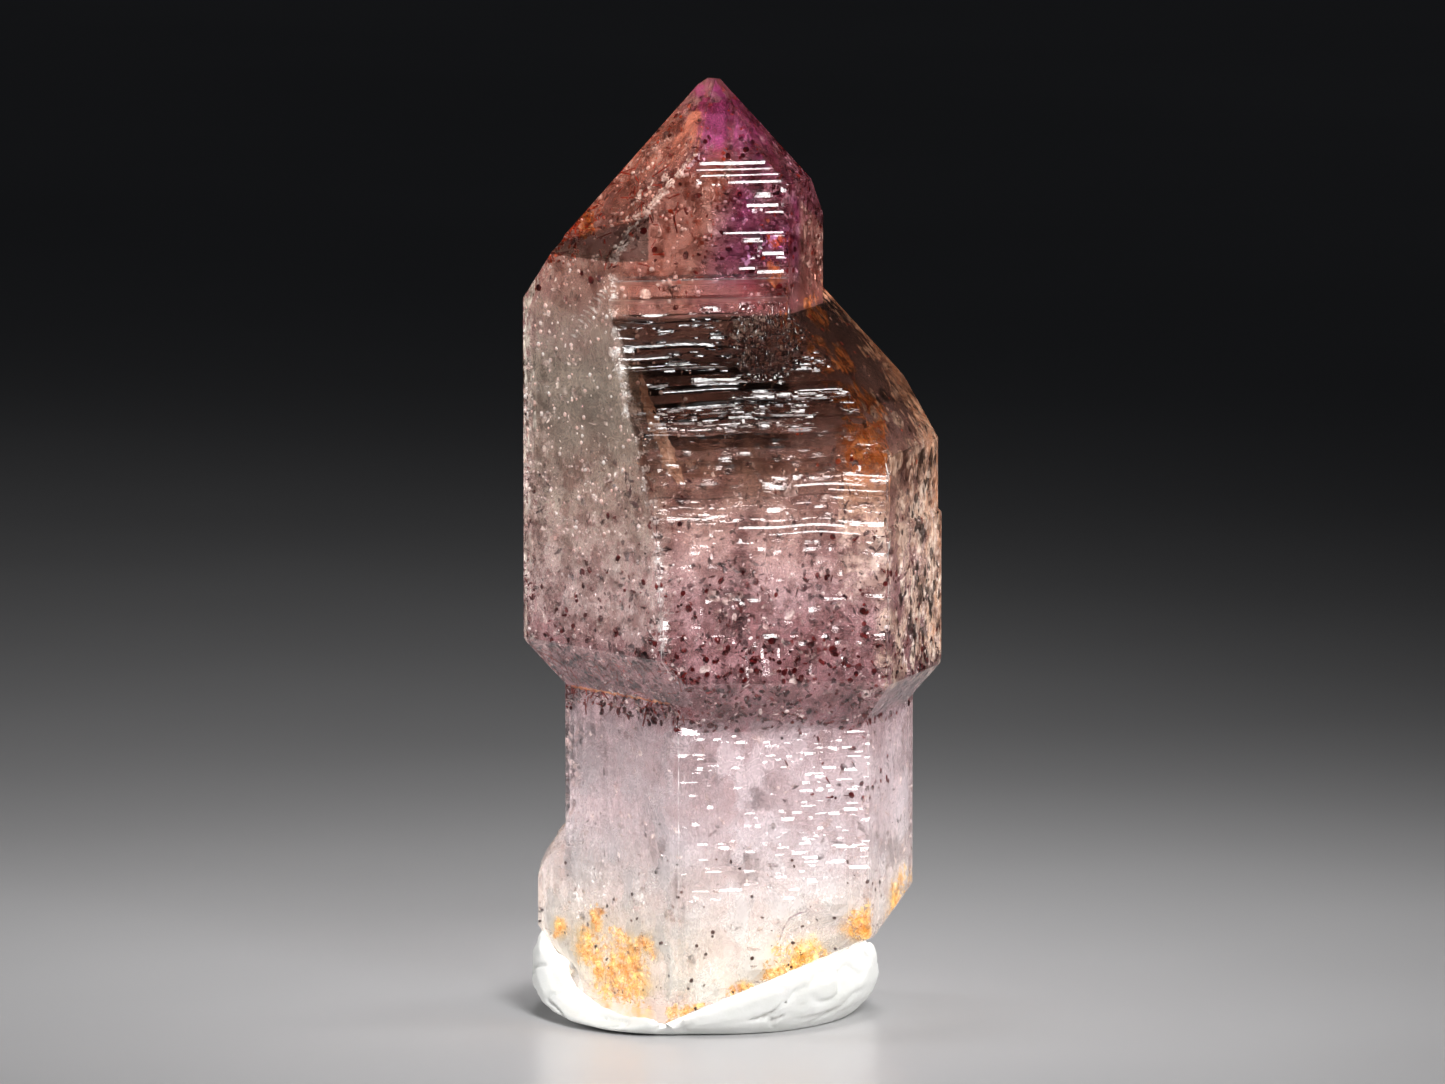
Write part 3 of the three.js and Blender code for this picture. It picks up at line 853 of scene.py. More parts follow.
def veil_material():
    material = new_material("milky quartz veil")
    at = zones()
    tip = add("MixRGB", at["purple"], "#c47c64", "#a04478")
    tip_amount = TIP_AMOUNT
    for zone, (shade, milk) in TIP_MILK.items():
        tip = add("MixRGB", at[zone], tip, shade)
        tip_amount = add("MapRange", at[zone], 0.0, 1.0, tip_amount, milk)
    colour = add("MixRGB", at["tip"], add("ValToRGB", at["up"], stops=BELOW_MILK), tip)
    colour = add("MixRGB", at["left"], colour, add("ValToRGB", at["up"], stops=LEFT_MILK))
    colour = add("MixRGB", at["right"], colour, "#ecd8c4")
    rusty = add("Math MULTIPLY", at["stain"], add("MapRange", at["smudge"], 0.4, 0.52))
    colour = add("MixRGB", rusty, colour, "#f2d48c")

    tip_amount = add("Math MULTIPLY", add("Math SUBTRACT", 1.0, at["strip"]), tip_amount)
    amount = add("MixRGB", at["tip"], add("ValToRGB", at["up"], stops=BELOW_AMOUNTS), tip_amount)
    for zone, stops in SIDE_AMOUNTS.items():
        amount = add("MixRGB", at[zone], amount, add("ValToRGB", at["up"], stops=stops))
    outward = add("VectorMath NORMALIZE", add("VectorMath MULTIPLY", at["spot"], (1.0, 1.0, 0.0)))
    level = add("VectorMath MULTIPLY", at["spot"], (0.0, 0.0, 0.6))
    around = add("VectorMath MULTIPLY_ADD", outward, (CLOUD_REACH, CLOUD_REACH, 0.0), level)
    clouds = add("TexNoise", {"Vector": around, "Scale": 0.8, "Detail": 7.0, "Roughness": 0.7})
    broad = add("TexNoise", {"Vector": around, "Scale": 0.4, "Detail": 2.0})
    patches = add("Math MULTIPLY", add("MapRange", clouds, 0.44, 0.62, 0.15, 2.6),
                  add("MapRange", broad, 0.42, 0.58, 0.3, 1.8))
    patches = add("MixRGB", add("Math MULTIPLY", at["left"], 0.75), patches, "#ffffff")
    fine = add("TexNoise", {"Vector": at["spot"], "Scale": 1.1, "Detail": 4.0, "Roughness": 0.6,
                            "Distortion": 1.0})
    off_line = add("Math ABSOLUTE", add("Math SUBTRACT", fine, 0.5))
    crinkles = add("MapRange", off_line, 0.035, 0.008, 0.6, 3.0)
    crinkles = add("MixRGB", add("ValToRGB", at["up"], stops=CRINKLE_SHARES), "#ffffff", crinkles)
    cloudy = add("Math MULTIPLY", add("Math MULTIPLY", amount, patches), crinkles, use_clamp=True)
    add("OutputMaterial", add("BsdfPrincipled", {"Base Color": colour, "Roughness": 0.85,
                                                 "Specular IOR Level": 0.1, "Alpha": cloudy}))
    return material


def veil_corners(share, seed):
    margin = VEIL_MARGINS[min(seed, 1)]
    heights = np.linspace(VEIL_BOTTOM, VEIL_TOP, VEIL_ROWS)
    bearings = np.arange(VEIL_SIDES) * 360 / VEIL_SIDES + 2.5
    reach = np.array([[reach_at(b, z) for b in bearings] for z in heights])
    soft = (reach + np.roll(reach, 1, 1) + np.roll(reach, -1, 1)) / 3
    soft[1:-1] = (soft[:-2] + soft[1:-1] + soft[2:]) / 3
    corners = []
    for row, z in zip(np.minimum(soft, reach), heights):
        for r, b in zip(row, bearings):
            out = facing(float(b))
            wave = noise.noise(Vector((out.x * 4, out.y * 4, z * 0.5 + seed * 9.1))) * VEIL_WAVE
            away = max(min(share * r, r - margin) - abs(wave), 0.05)
            corners.append(middle_at(z) + out * away)
    return corners


corners, faces = [], []
for seed, share in enumerate(VEIL_SHARES):
    faces += grid_faces(VEIL_ROWS, VEIL_SIDES, around=True, first=len(corners))
    corners += veil_corners(share, seed)
mesh_piece("milky_veils", corners, faces, veil_material())
print("veils:", len(VEIL_SHARES), "sheets,", len(faces), "faces")

# %% [markdown]
# ### Small grains
#
# Most of what shows in the quartz is small: platelets, needles, bubbles, cracks and rust. Each kind is
# one mesh that joins many little shapes. The helpers here choose places under the surface, and turn and
# size a shape at each.

# %% Scattering small grains
UNDER_SKIN = 0.008
CLUMPS = 9


def plate_grain():
    """A thin six-sided plate, one across."""
    turns = np.arange(6) * math.pi / 3
    ring = np.stack([np.cos(turns), np.sin(turns)], 1)
    corners = np.concatenate([np.c_[ring, np.full(6, 0.14)], np.c_[ring, np.full(6, -0.14)]]) / 2
    sides = [(i, 6 + i, 6 + (i + 1) % 6, (i + 1) % 6) for i in range(6)]
    return corners, [tuple(range(6)), tuple(range(11, 5, -1)), *sides]


def round_grain():
    """A small ball of 24 faces, one across."""
    rings = [(0.5 * math.cos(t), 0.5 * math.sin(t)) for t in (-0.8, 0.0, 0.8)]
    turns = [k * math.pi / 3 for k in range(6)]
    around = [(r * math.cos(turn), r * math.sin(turn), h) for r, h in rings for turn in turns]
    corners = [(0, 0, -0.5), *around, (0, 0, 0.5)]
    faces = [(0, 1 + (k + 1) % 6, 1 + k) for k in range(6)]
    for ring in (1, 7):
        faces += [(ring + k, ring + (k + 1) % 6, ring + 6 + (k + 1) % 6, ring + 6 + k) for k in range(6)]
    faces += [(13 + k, 13 + (k + 1) % 6, 19) for k in range(6)]
    return np.array(corners), faces


def needle_grain():
    corners = [(x, y, z) for z in (-0.5, 0.5) for x, y in ((0.05, 0), (-0.03, 0.04), (-0.03, -0.04))]
    return np.array(corners), [(0, 2, 1), (3, 4, 5), (0, 1, 4, 3), (1, 2, 5, 4), (2, 0, 3, 5)]


def random_turns(draw, count):
    w, x, y, z = draw.normal(size=(4, count))
    size = np.sqrt(w * w + x * x + y * y + z * z)
    w, x, y, z = w / size, x / size, y / size, z / size
    return np.array([[1 - 2 * (y * y + z * z), 2 * (x * y - z * w), 2 * (x * z + y * w)],
                     [2 * (x * y + z * w), 1 - 2 * (x * x + z * z), 2 * (y * z - x * w)],
                     [2 * (x * z - y * w), 2 * (y * z + x * w), 1 - 2 * (x * x + y * y)]]).transpose(2, 0, 1)


def places_in(draw, zones_of):
    """Points under the surface. A zone gives bearings, heights, depths and how many."""
    places = []
    for bearings, heights, depths, count in zones_of:
        for _ in range(count):
            bearing = draw.uniform(*bearings)
            height = draw.uniform(*heights)
            depth = depths[0] + (depths[1] - depths[0]) * draw.uniform() ** 1.6
            reach = reach_at(bearing, height) - depth
            if reach > 0.2:
                places.append(middle_at(height) + facing(bearing) * reach)
    return np.array(places)


def places_near(draw, spots, depths):
    """Points under the surface near spots, in ragged clumps. A spot has a middle, a radius and how many."""
    places = []
    for middle, radius, count in spots:
        clumps = [Vector(middle) + Vector(draw.normal(size=3)) * radius * 0.4 for _ in range(CLUMPS)]
        sizes = draw.uniform(0.25, 0.65, CLUMPS) * radius
        for n in range(count):
            away = Vector(draw.normal(size=3)).normalized() * sizes[n % CLUMPS] * draw.uniform() ** 0.5
            places.append(under_surface(clumps[n % CLUMPS] + away, draw.uniform(*depths)))
    return np.array(places)


def kept_inside(shape, place):
    """Moves a grain inwards until none of its corners stands out of the crystal."""
    here, out, _, distance = surface.find_nearest(Vector(place))
    if (Vector(place) - here).dot(out) < 0 and distance > np.abs(shape).max() * 2:
        return shape + place
    for _ in range(6):
        furthest, outward = -UNDER_SKIN, None
        for corner in (shape + place).tolist():
            here, out, _, _ = surface.find_nearest(corner)
            stands_out = (Vector(corner) - here).dot(out)
            if stands_out > furthest:
                furthest, outward = stands_out, out
        if outward is None:
            break
        place = place - np.array(outward) * (furthest + UNDER_SKIN * 1.5)
    return shape + place


def scattered(name, grains, places, sizes, draw, material, turns=None, casts_shadow=True):
    """One mesh of many grains. Each place gets one of the grains in turn, turned and sized at random."""
    turns = random_turns(draw, len(places)) if turns is None else turns
    spread = sizes[0] * (sizes[1] / sizes[0]) ** draw.uniform(0, 1, len(places))
    every, joined, first = [], [], 0
    for n, (place, turn, size) in enumerate(zip(places, turns, spread)):
        corners, faces = grains[n % len(grains)]
        every.append(kept_inside(corners @ turn.T * size, np.array(place)))
        joined += [tuple(c + first for c in face) for face in faces]
        first += len(corners)
    print(name + ":", len(places), "grains,", len(joined), "faces")
    return mesh_piece(name, np.concatenate(every), joined, material, casts_shadow)


def grain_material(name, dark, light, roughness, scale):
    material = new_material(name)
    place = add("TexCoord").outputs["Object"]
    mottle = add("TexNoise", {"Vector": place, "Scale": scale / MM, "Detail": 2.0})
    colour = add("ValToRGB", mottle, stops=[(0.38, dark), (0.62, light)])
    add("OutputMaterial", add("BsdfPrincipled", {"Base Color": colour, "Roughness": roughness}))
    return material


print("grains: plate", len(plate_grain()[1]), "faces, ball", len(round_grain()[1]), "faces")

# %% [markdown]
# ### Platelets, needles and bright points
#
# The dark red flecks are platelets of hematite and lepidocrocite, up to four tenths of a millimetre
# across, thickest in the lower part of the head. Near the tip they are orange red, and some are needles.
# White points are bubbles of the liquid that the crystal grew in, and their white is a painted glint.

# %% Platelets, needles and bright points
ALL_ROUND = (-180, 180)
GRAINS = [
    # name, shape, least and greatest size, and finish, then bearings, heights, depths and how many
    ("iron_platelets", plate_grain, (0.14, 0.46),
     ("dark red iron platelets", "#28060c", "#701818", 0.3, 3.0), [
        (ALL_ROUND, (16.6, 20.5), (0.04, 0.6), 700),
        ((-35, 75), (16.4, 21.5), (0.04, 0.7), 380),
        (ALL_ROUND, (20.5, 25.0), (0.04, 0.7), 480),
        (ALL_ROUND, (16.8, 25.0), (0.7, 4.5), 420),
        (ALL_ROUND, (25.0, 29.5), (0.05, 1.5), 130),
        ((25, 75), (26.5, 28.0), (0.05, 0.5), 24),
        (ALL_ROUND, (38.6, 48.0), (0.05, 1.6), 300),
        ((15, 70), (12.5, 16.4), (0.05, 0.6), 40)]),
    ("foot_specks", plate_grain, (0.1, 0.27),
     ("dark brown specks", "#22120e", "#54281c", 0.5, 3.0), [
        (ALL_ROUND, (1.6, 9.6), (0.02, 0.3), 260)]),
    ("orange_flecks", plate_grain, (0.10, 0.32),
     ("orange red iron flecks", "#7a1a10", "#c8562a", 0.35, 3.0), [
        ((-95, -60), (40.6, 43.6), (0.03, 0.7), 190),
        (ALL_ROUND, (39.0, 48.5), (0.05, 2.0), 150),
        ((20, 110), (30.0, 38.0), (0.1, 1.2), 70)]),
    ("red_needles", needle_grain, (0.4, 1.2),
     ("red iron needles", "#5a1010", "#a83418", 0.35, 3.0), [
        ((-95, -20), (40.6, 46.0), (0.05, 0.6), 80),
        ((-95, -15), (16.8, 20.0), (0.05, 0.4), 150)]),
    # Bubbles painted white: their white is a painted glint.
    ("bubbles_painted_white", round_grain, (0.09, 0.30),
     ("bubbles painted white for their glints", "#f4d0c8", "#ffffff", 0.25, 2.0), [
        ((-115, -24), (24.0, 41.4), (0.04, 0.7), 420),
        (ALL_ROUND, (16.8, 24.0), (0.04, 0.7), 230),
        (ALL_ROUND, (24.0, 47.0), (0.05, 1.5), 190),
        ((-60, 20), (39.0, 46.0), (0.04, 0.8), 90)]),
]
draw = np.random.default_rng(21)
for name, shape, sizes, finish, where in GRAINS:
    scattered(name, [shape()], places_in(draw, where), sizes, draw, grain_material(*finish))

# %% [markdown]
# ### Cracks and rust
#
# Quartz that has been strained is full of small cracks. A healed crack is a pale sheet of tiny bubbles.
# An open one holds a film of air, which mirrors light like silver at most angles, so it looks dark or
# bright by what it turns towards the eye. Other cracks are flakes painted dark, a painted reflection of the
# dim studio. Each is a thin, slightly bent flake with a ragged outline. Rust has crept into the cracks of
# the foot, as flakes of ochre.

# %% Cracks and rust
SLOPE = math.radians(38.2)
RUST_FLAKES = 250
FRONT_LEFT_EDGE = [(-1.82, -6.24, 46.67), (-3.59, -6.65, 44.83), (-4.43, -6.79, 43.9), (-5.37, -6.3, 42.9),
                   (-6.3, -7.2, 41.2), (-6.3, -7.25, 36.4), (-5.6, -7.8, 35.0), (-4.8, -8.8, 31.2),
                   (-4.1, -9.8, 27.0), (-3.8, -10.2, 23.6), (-3.7, -10.3, 20.4)]
# Painted highlight on the front's left edge: white flakes along it, from the summit down.
PAINTED_EDGE_GLINTS = [(Vector(a).lerp(Vector(b), t), 0.3, 14) for a, b in zip(FRONT_LEFT_EDGE, FRONT_LEFT_EDGE[1:])
         for t in (0.0, 0.2, 0.4, 0.6, 0.8)]
# The first patch, at the left edge of the front face, is a painted glint; the others are white, crushed
# quartz.
WHITE_PATCHES_AND_GLINT = [  # middle, radius and how many flakes
    ((-5.3, -8.0, 33.4), 0.5, 110), ((-8.4, -1.5, 6.5), 1.0, 60), ((-4.9, -5.6, 7.6), 1.1, 70),
    ((4.9, -6.6, 7.2), 0.7, 50), ((-7.2, -3.0, 7.2), 1.0, 50), ((3.4, -6.6, 5.6), 1.0, 60),
    ((1.8, -5.9, 37.2), 1.7, 90), ((0.4, -6.2, 37.6), 1.1, 40),
    ((-4.0, -10.0, 22.0), 1.2, 60), ((2.0, -5.6, 42.1), 0.4, 50), ((0.8, -5.6, 41.2), 0.45, 24),
    ((-3.6, -5.8, 45.5), 0.3, 24), ((-4.4, -5.6, 44.9), 0.3, 20), ((-5.0, -5.7, 44.3), 0.3, 20),
]
FLAKES = [
    # name, least and greatest size, corners of a rim, finish, and how and where the places are found. A
    # finish is a name, two colours, the least and greatest share it covers, how rough and how metallic it is.
    ("pale_cracks", (0.2, 1.1), 9, ("healed cracks", "#b89890", "#fbf2ec", (0.15, 0.8), 0.3), places_in, [
        (ALL_ROUND, (17.0, 24.0), (0.05, 2.0), 520),
        (ALL_ROUND, (24.0, 31.0), (0.1, 2.5), 260),
        ((-115, -30), (24.0, 40.5), (0.1, 2.0), 240),
        (ALL_ROUND, (39.0, 47.0), (0.1, 2.0), 260),
        (ALL_ROUND, (1.6, 16.5), (0.1, 2.5), 520),
        ((60, 104), (20.0, 31.0), (0.03, 0.5), 260)]),
    ("crystal_crumbs", (0.07, 0.36), 5,
     ("crushed and healed quartz crumbs", "#c8a8a8", "#fff4f0", (0.25, 0.95), 0.25), places_in, [
        (ALL_ROUND, (17.0, 31.0), (0.03, 0.9), 2500),
        ((-60, 75), (17.0, 30.0), (0.03, 0.6), 2000),
        ((-105, -40), (20.0, 31.0), (0.03, 0.5), 900),
        (ALL_ROUND, (8.0, 16.5), (0.03, 1.0), 700),
        (ALL_ROUND, (38.6, 47.5), (0.03, 1.2), 700),
        ((-40, 20), (39.0, 46.0), (0.03, 0.8), 350)]),
    ("open_cracks", (0.2, 1.0), 9, ("open cracks, films of air", "#c8c0bc", "#ffffff", (0.3, 0.9), 0.08, 1.0),
     places_in, [
        (ALL_ROUND, (17.0, 24.0), (0.08, 1.6), 900),
        (ALL_ROUND, (24.0, 31.0), (0.08, 1.8), 700),
        (ALL_ROUND, (31.0, 38.0), (0.1, 3.0), 200),
        ((-35, 60), (28.5, 38.0), (0.04, 0.8), 220),
        (ALL_ROUND, (38.5, 47.0), (0.1, 2.0), 420),
        (ALL_ROUND, (2.0, 16.5), (0.1, 2.0), 620)]),
    ("white_patches", (0.12, 0.5), 9, ("crushed white quartz", "#d8d0ca", "#ffffff", (0.3, 0.9), 0.25),
     places_near, WHITE_PATCHES_AND_GLINT + PAINTED_EDGE_GLINTS, (0.03, 0.4)),
    ("rust", (0.1, 0.7), 5, ("ochre rust in the cracks", "#e2a024", "#fff0c0", (0.22, 0.8), 0.6),
     places_near, [(middle, radius, int(RUST_FLAKES * radius)) for middle, radius in STAINS], (0.02, 0.5)),
]
# Dark flakes: a painted dark reflection, in place of cracks that would mirror the dim surroundings.
PAINTED_DARK_CRACKS = [
    (ALL_ROUND, (17.0, 24.0), (0.05, 1.2), 800),
    (ALL_ROUND, (24.0, 31.0), (0.05, 1.5), 700),
    ((-35, 75), (17.5, 30.0), (0.03, 0.5), 700),
    ((-100, -35), (17.0, 20.5), (0.03, 0.5), 240),
    (ALL_ROUND, (38.6, 48.5), (0.05, 1.5), 300),
    (ALL_ROUND, (8.0, 16.5), (0.05, 1.0), 120),
]
# Painted sheen on the right face: pale upright flakes in streaks just under it, and dark ones as a painted
# dark reflection. They stand in for the sheen that the softbox behind and to the right throws on that face.
RIGHT_FACE_SHEEN_PLACES = [((62, 104), (19.6, 31.0), (0.05, 0.4), 280), ((48, 120), (19.4, 33.5), (0.05, 0.4), 180)]
RIGHT_FACE_SHEEN_FINISHES = [("side_streaks", "#c8a890", "#fff8ec", 1), ("right_face_painted_dark_reflection", "#140e0e", "#4c3c34", 2)]
ORANGE_GLOWS = [((5.6, -3.7, 35.8), 1.7, 60), ((7.2, -4.6, 33.6), 1.8, 70), ((7.0, -7.0, 31.4), 1.2, 50),
                ((4.8, -1.8, 38.0), 1.2, 40), ((-7.6, -3.6, 42.6), 0.8, 26), ((2.0, -5.4, 42.0), 0.5, 8),
                ((2.4, -5.4, 40.6), 0.5, 6)]


def flake_grain(seed, rim_corners):
    draw = np.random.default_rng(seed)
    turns = np.arange(rim_corners) * 2 * math.pi / rim_corners
    reach = draw.uniform(0.45, 1.0, rim_corners) / 2
    rim = np.stack([np.cos(turns) * reach, np.sin(turns) * reach * draw.uniform(0.3, 0.8),
                    draw.uniform(-0.08, 0.08, rim_corners)], 1)
    thin = np.array([0, 0, 0.015])
    middle = np.array([[0, 0, draw.uniform(-0.1, 0.1)]])
    corners = np.concatenate([rim + thin, rim - thin, middle + thin, middle - thin])
    top, bottom = 2 * rim_corners, 2 * rim_corners + 1
    faces = []
    for i in range(rim_corners):
        j = (i + 1) % rim_corners
        faces += [(i, j, top), (rim_corners + j, rim_corners + i, bottom)]
        faces.append((i, rim_corners + i, rim_corners + j, j))
    return corners, faces


def flake_material(name, dark, light, share, roughness, metallic=0.0):
    """A see-through flake. It covers a share of what is behind it, which changes from place to place."""
    material = new_material(name)
    cloud = add("TexNoise", {"Vector": add("TexCoord").outputs["Object"], "Scale": 2.2 / MM, "Detail": 3.0})
    colour = add("ValToRGB", cloud, stops=[(0.35, dark), (0.65, light)])
    covers = add("MapRange", cloud, 0.35, 0.65, *share)
    add("OutputMaterial", add("BsdfPrincipled", {"Base Color": colour, "Roughness": roughness,
                                                 "Metallic": metallic, "Alpha": covers}))
    return material


def flakes(name, sizes, corners, finish, places, draw, turns=None):
    grains = [flake_grain(seed, corners) for seed in range(31, 39)]
    return scattered(name, grains, places, sizes, draw, flake_material(*finish), turns, casts_shadow=False)


def swung(turn, angle, axis):
    return turn @ np.array(Matrix.Rotation(angle, 3, axis))


draw = np.random.default_rng(51)
for name, sizes, corners, finish, find_places, *where in FLAKES:
    flakes(name, sizes, corners, finish, find_places(draw, *where), draw)
upright = np.array([UP, -side_of(RIGHT), facing(RIGHT)]).T
# The painted sheen and painted dark reflection of the right face.
for name, dark, light, every in RIGHT_FACE_SHEEN_FINISHES:
    places = places_in(draw, RIGHT_FACE_SHEEN_PLACES)[::every]
    turns = [swung(upright, angle, "Z") for angle in draw.uniform(-0.2, 0.2, len(places))]
    finish = ("painted sheen and dark reflection on the right face", dark, light, (0.2, 0.95), 0.25)
    flakes(name, (0.4, 2.0), 7, finish, places, draw, turns)
places = places_near(draw, ORANGE_GLOWS, (0.2, 1.4))
down_slope = facing(RIGHT) * math.sin(SLOPE) - UP * math.cos(SLOPE)
along_slope = np.array(down_slope.to_track_quat("X", "Z").to_matrix())
turns = [swung(along_slope, angle, "X") for angle in draw.uniform(0, 6.28, len(places))]
flakes("orange_glows", (0.4, 1.6), 9, ("iron stained growth sheets", "#7a3c18", "#f0a860", (0.2, 0.85), 0.3),
       places, draw, turns)
draw = np.random.default_rng(77)
# Painted dark reflection: dark flakes that are no mirror.
flakes("cracks_painted_dark", (0.14, 1.0), 5, ("cracks with a painted dark reflection", "#1c1014", "#5c3c40", (0.1, 0.8), 0.35),
       places_in(draw, PAINTED_DARK_CRACKS), draw)

# %% [markdown]
# ### The healed crack, the feather and the coloured sheet
#
# Three larger things lie just under the faces. A healed crack runs down the left of the front face like a
# tan tube. Under the upper left face a crack has spread in ribs, like a feather. Near the right edge of
# the front face a growth sheet is stained orange at its top and cream below. An orange line glows where
# the head meets the stem.

# %% The larger inclusions
TUBE_PATH = [((-4.85, -7.2, 35.2), 0.10), ((-4.6, -7.45, 34.2), 0.22), ((-4.3, -7.9, 33.2), 0.30),
             ((-3.8, -8.25, 32.2), 0.34), ((-3.45, -8.6, 31.2), 0.36), ((-3.0, -8.85, 30.2), 0.34),
             ((-2.7, -8.95, 29.4), 0.2)]
FEATHER = {"from": (-6.7, -6.75, 39.6), "to": (-8.3, -4.85, 37.0), "ribs": 11, "length": 0.9, "width": 0.16}
SHEET = {"left": 5.4, "right": 8.0, "bottom": 22.8, "top": 32.4, "depth": 0.5}
JUNCTION = {"bearings": (-78, -22), "height": 17.85, "thick": 0.13}
RIM_LIGHT_STRETCH = (1.8, 0.6, 1.0)
# Painted rim light: pale flakes just under the right and left silhouettes stand in for the bright edges that
# the softboxes behind give.
PAINTED_RIM_LIGHTS = [
    # name, bearing, how many flakes, how far they spread, two colours, and the path
    ("right_rim_painted_light", RIGHT, 900, 1.3, "#c88c60", "#fce8d0", [
        (5.0, 2.0, 39.0), (6.4, 2.7, 37.6), (7.8, 2.3, 35.7), (8.3, 2.2, 35.1), (9.0, 1.1, 33.7),
        (10.0, 0.9, 32.4), (10.8, 0.4, 31.3), (11.0, -0.1, 29.4), (11.1, -0.1, 27.4), (11.1, 0.0, 23.0),
        (11.0, 0.0, 19.8)]),
    ("left_rim_painted_light", LEFT, 110, 0.4, "#b8b0a4", "#f8f4ec", [
        (-11.0, -1.6, 40.5), (-11.0, -1.5, 37.4), (-10.9, -1.3, 33.0), (-10.95, -1.3, 27.0),
        (-10.95, -1.4, 20.5)]),
]
# Painted highlights: thin white ribbons just under upright edges of the stem and head stand in for the bright
# lines that these edges shine with.
PAINTED_EDGE_HIGHLIGHTS = [[(-2.87, -8.0, 16.3), (-2.87, -8.0, 8.0)], [(7.1, -6.25, 16.2), (7.1, -6.25, 8.0)],
              [(8.1, -8.0, 31.0), (8.1, -8.2, 20.6)],
              [(-4.6, -9.1, 30.0), (-4.1, -9.8, 27.0), (-3.8, -10.2, 23.6), (-3.7, -10.3, 19.4)]]
CHIP_LIP = [(2.43, -7.08, 5.19), (2.64, -7.04, 5.82), (3.01, -6.98, 6.4), (3.54, -6.88, 6.65),
            (4.28, -6.65, 6.66), (5.12, -6.26, 6.33), (5.76, -6.13, 5.98)]
EDGE_HIGHLIGHT_FINISH = ("chipped edge", "#d8d0cc", "#ffffff", (0.2, 1.0), 0.3)
LIP_FINISH = ("lip of a chip", "#5c4048", "#a08890", (0.3, 0.9), 0.3)
RIBBON_DEPTH = 0.03
RIBBON_STEP = 0.3


def tube_shape(path, sides=12, rings_between=4):
    rings = []
    for (a, radius_a), (b, radius_b) in zip(path, path[1:]):
        for t in np.arange(rings_between) / rings_between:
            radius = radius_a + (radius_b - radius_a) * t
            rings.append((under_surface(Vector(a).lerp(Vector(b), t), radius * 1.5 + 0.06), radius))
    corners = []
    for centre, radius in rings:
        for turn in np.arange(sides) * 2 * math.pi / sides:
            out = Vector((math.cos(turn), math.sin(turn), 0))
            rough = 1 + 0.9 * noise.noise(Vector((centre.x * 2 + out.x * 2, out.y * 2, centre.z * 2.8)))
            corners.append(centre + out * radius * rough)
    ends = [tuple(range(sides - 1, -1, -1)), tuple(range(len(corners) - sides, len(corners)))]
    return corners, grid_faces(len(rings), sides, around=True) + ends


def feather_shape(rib_corners=7):
    start, end = Vector(FEATHER["from"]), Vector(FEATHER["to"])
    quill = (end - start).normalized()
    across = quill.cross(facing(LEFT))
    corners, faces = [], []
    for rib in range(FEATHER["ribs"]):
        root = start.lerp(end, rib / (FEATHER["ribs"] - 1)) - facing(LEFT) * 0.12
        length = FEATHER["length"] * (0.5 + 0.5 * math.sin(math.pi * (rib + 1) / (FEATHER["ribs"] + 1)))
        faces += grid_faces(rib_corners, 2, first=len(corners))
        for t in np.linspace(0, 1, rib_corners):
            bend = quill * 0.35 * t * t + across * length * (t - 0.5)
            half = quill * FEATHER["width"] / 2 * math.sin(math.pi * (0.08 + 0.84 * t))
            corners += [root + bend + half, root + bend - half]
    return corners, faces


def sheet_shape(columns=17, rows=61):
    corners = []
    for z in np.linspace(SHEET["bottom"], SHEET["top"], rows):
        shift = 0.3 * noise.noise(Vector((z * 0.8, 3.0, 0)))
        for x in np.linspace(SHEET["left"], SHEET["right"], columns) + shift:
            hit = surface.ray_cast(Vector((x, AXIS.y, z)), Vector((0, -1, 0)))[0]
            wave = 0.25 * noise.noise(Vector((x * 1.6, 0.0, z * 0.7)))
            corners.append(Vector((x, hit.y + SHEET["depth"] + wave, z)))
    return corners, grid_faces(rows, columns)


def junction_shape(steps=60):
    corners = []
    for bearing in np.linspace(*JUNCTION["bearings"], steps + 1):
        z = JUNCTION["height"] + 0.1 * noise.noise(Vector((bearing * 0.3, 0, 0)))
        place = middle_at(z) + facing(bearing) * (reach_at(bearing, z) - 0.08)
        thick = JUNCTION["thick"] * (0.4 + abs(noise.noise(Vector((bearing * 0.7, 5, 0)))) * 1.6)
        corners += [place + UP * thick, place - UP * thick]
    return corners, grid_faces(steps + 1, 2)


def ribbon_shape(path, across, width):
    """A thin ribbon just under the surface, from a path sideways. Its width wavers."""
    places = []
    for a, b in zip(path, path[1:]):
        steps = max(1, round((Vector(b) - Vector(a)).length / RIBBON_STEP))
        places += [Vector(a).lerp(Vector(b), k / steps) for k in range(steps)]
    places.append(Vector(path[-1]))
    corners = []
    for place in places:
        beside = place + Vector(across) * width * (0.75 + 0.6 * noise.noise(place * 1.3))
        corners += [under_surface(beside, RIBBON_DEPTH), under_surface(place, RIBBON_DEPTH)]
    return corners, grid_faces(len(places), 2)


def painted_rim_light_places(draw, path, bearing, count, spread):
    """Points under the surface beside a path, closest together on it, and a turn along it for each."""
    places, turns = [], []
    for _ in range(count):
        n = int(draw.integers(0, len(path) - 1))
        start, end = Vector(path[n]), Vector(path[n + 1])
        beside = start.lerp(end, draw.uniform()) + side_of(bearing) * draw.normal() * spread
        here, out, _, _ = surface.find_nearest(beside)
        places.append(here - out * draw.uniform(0.04, 0.25))
        length = (end - start).normalized()
        turn = np.array([length, out.cross(length).normalized(), out]).T
        turns.append(swung(turn, draw.normal() * 0.15, "Z") @ np.diag(RIM_LIGHT_STRETCH))
    return np.array(places), turns


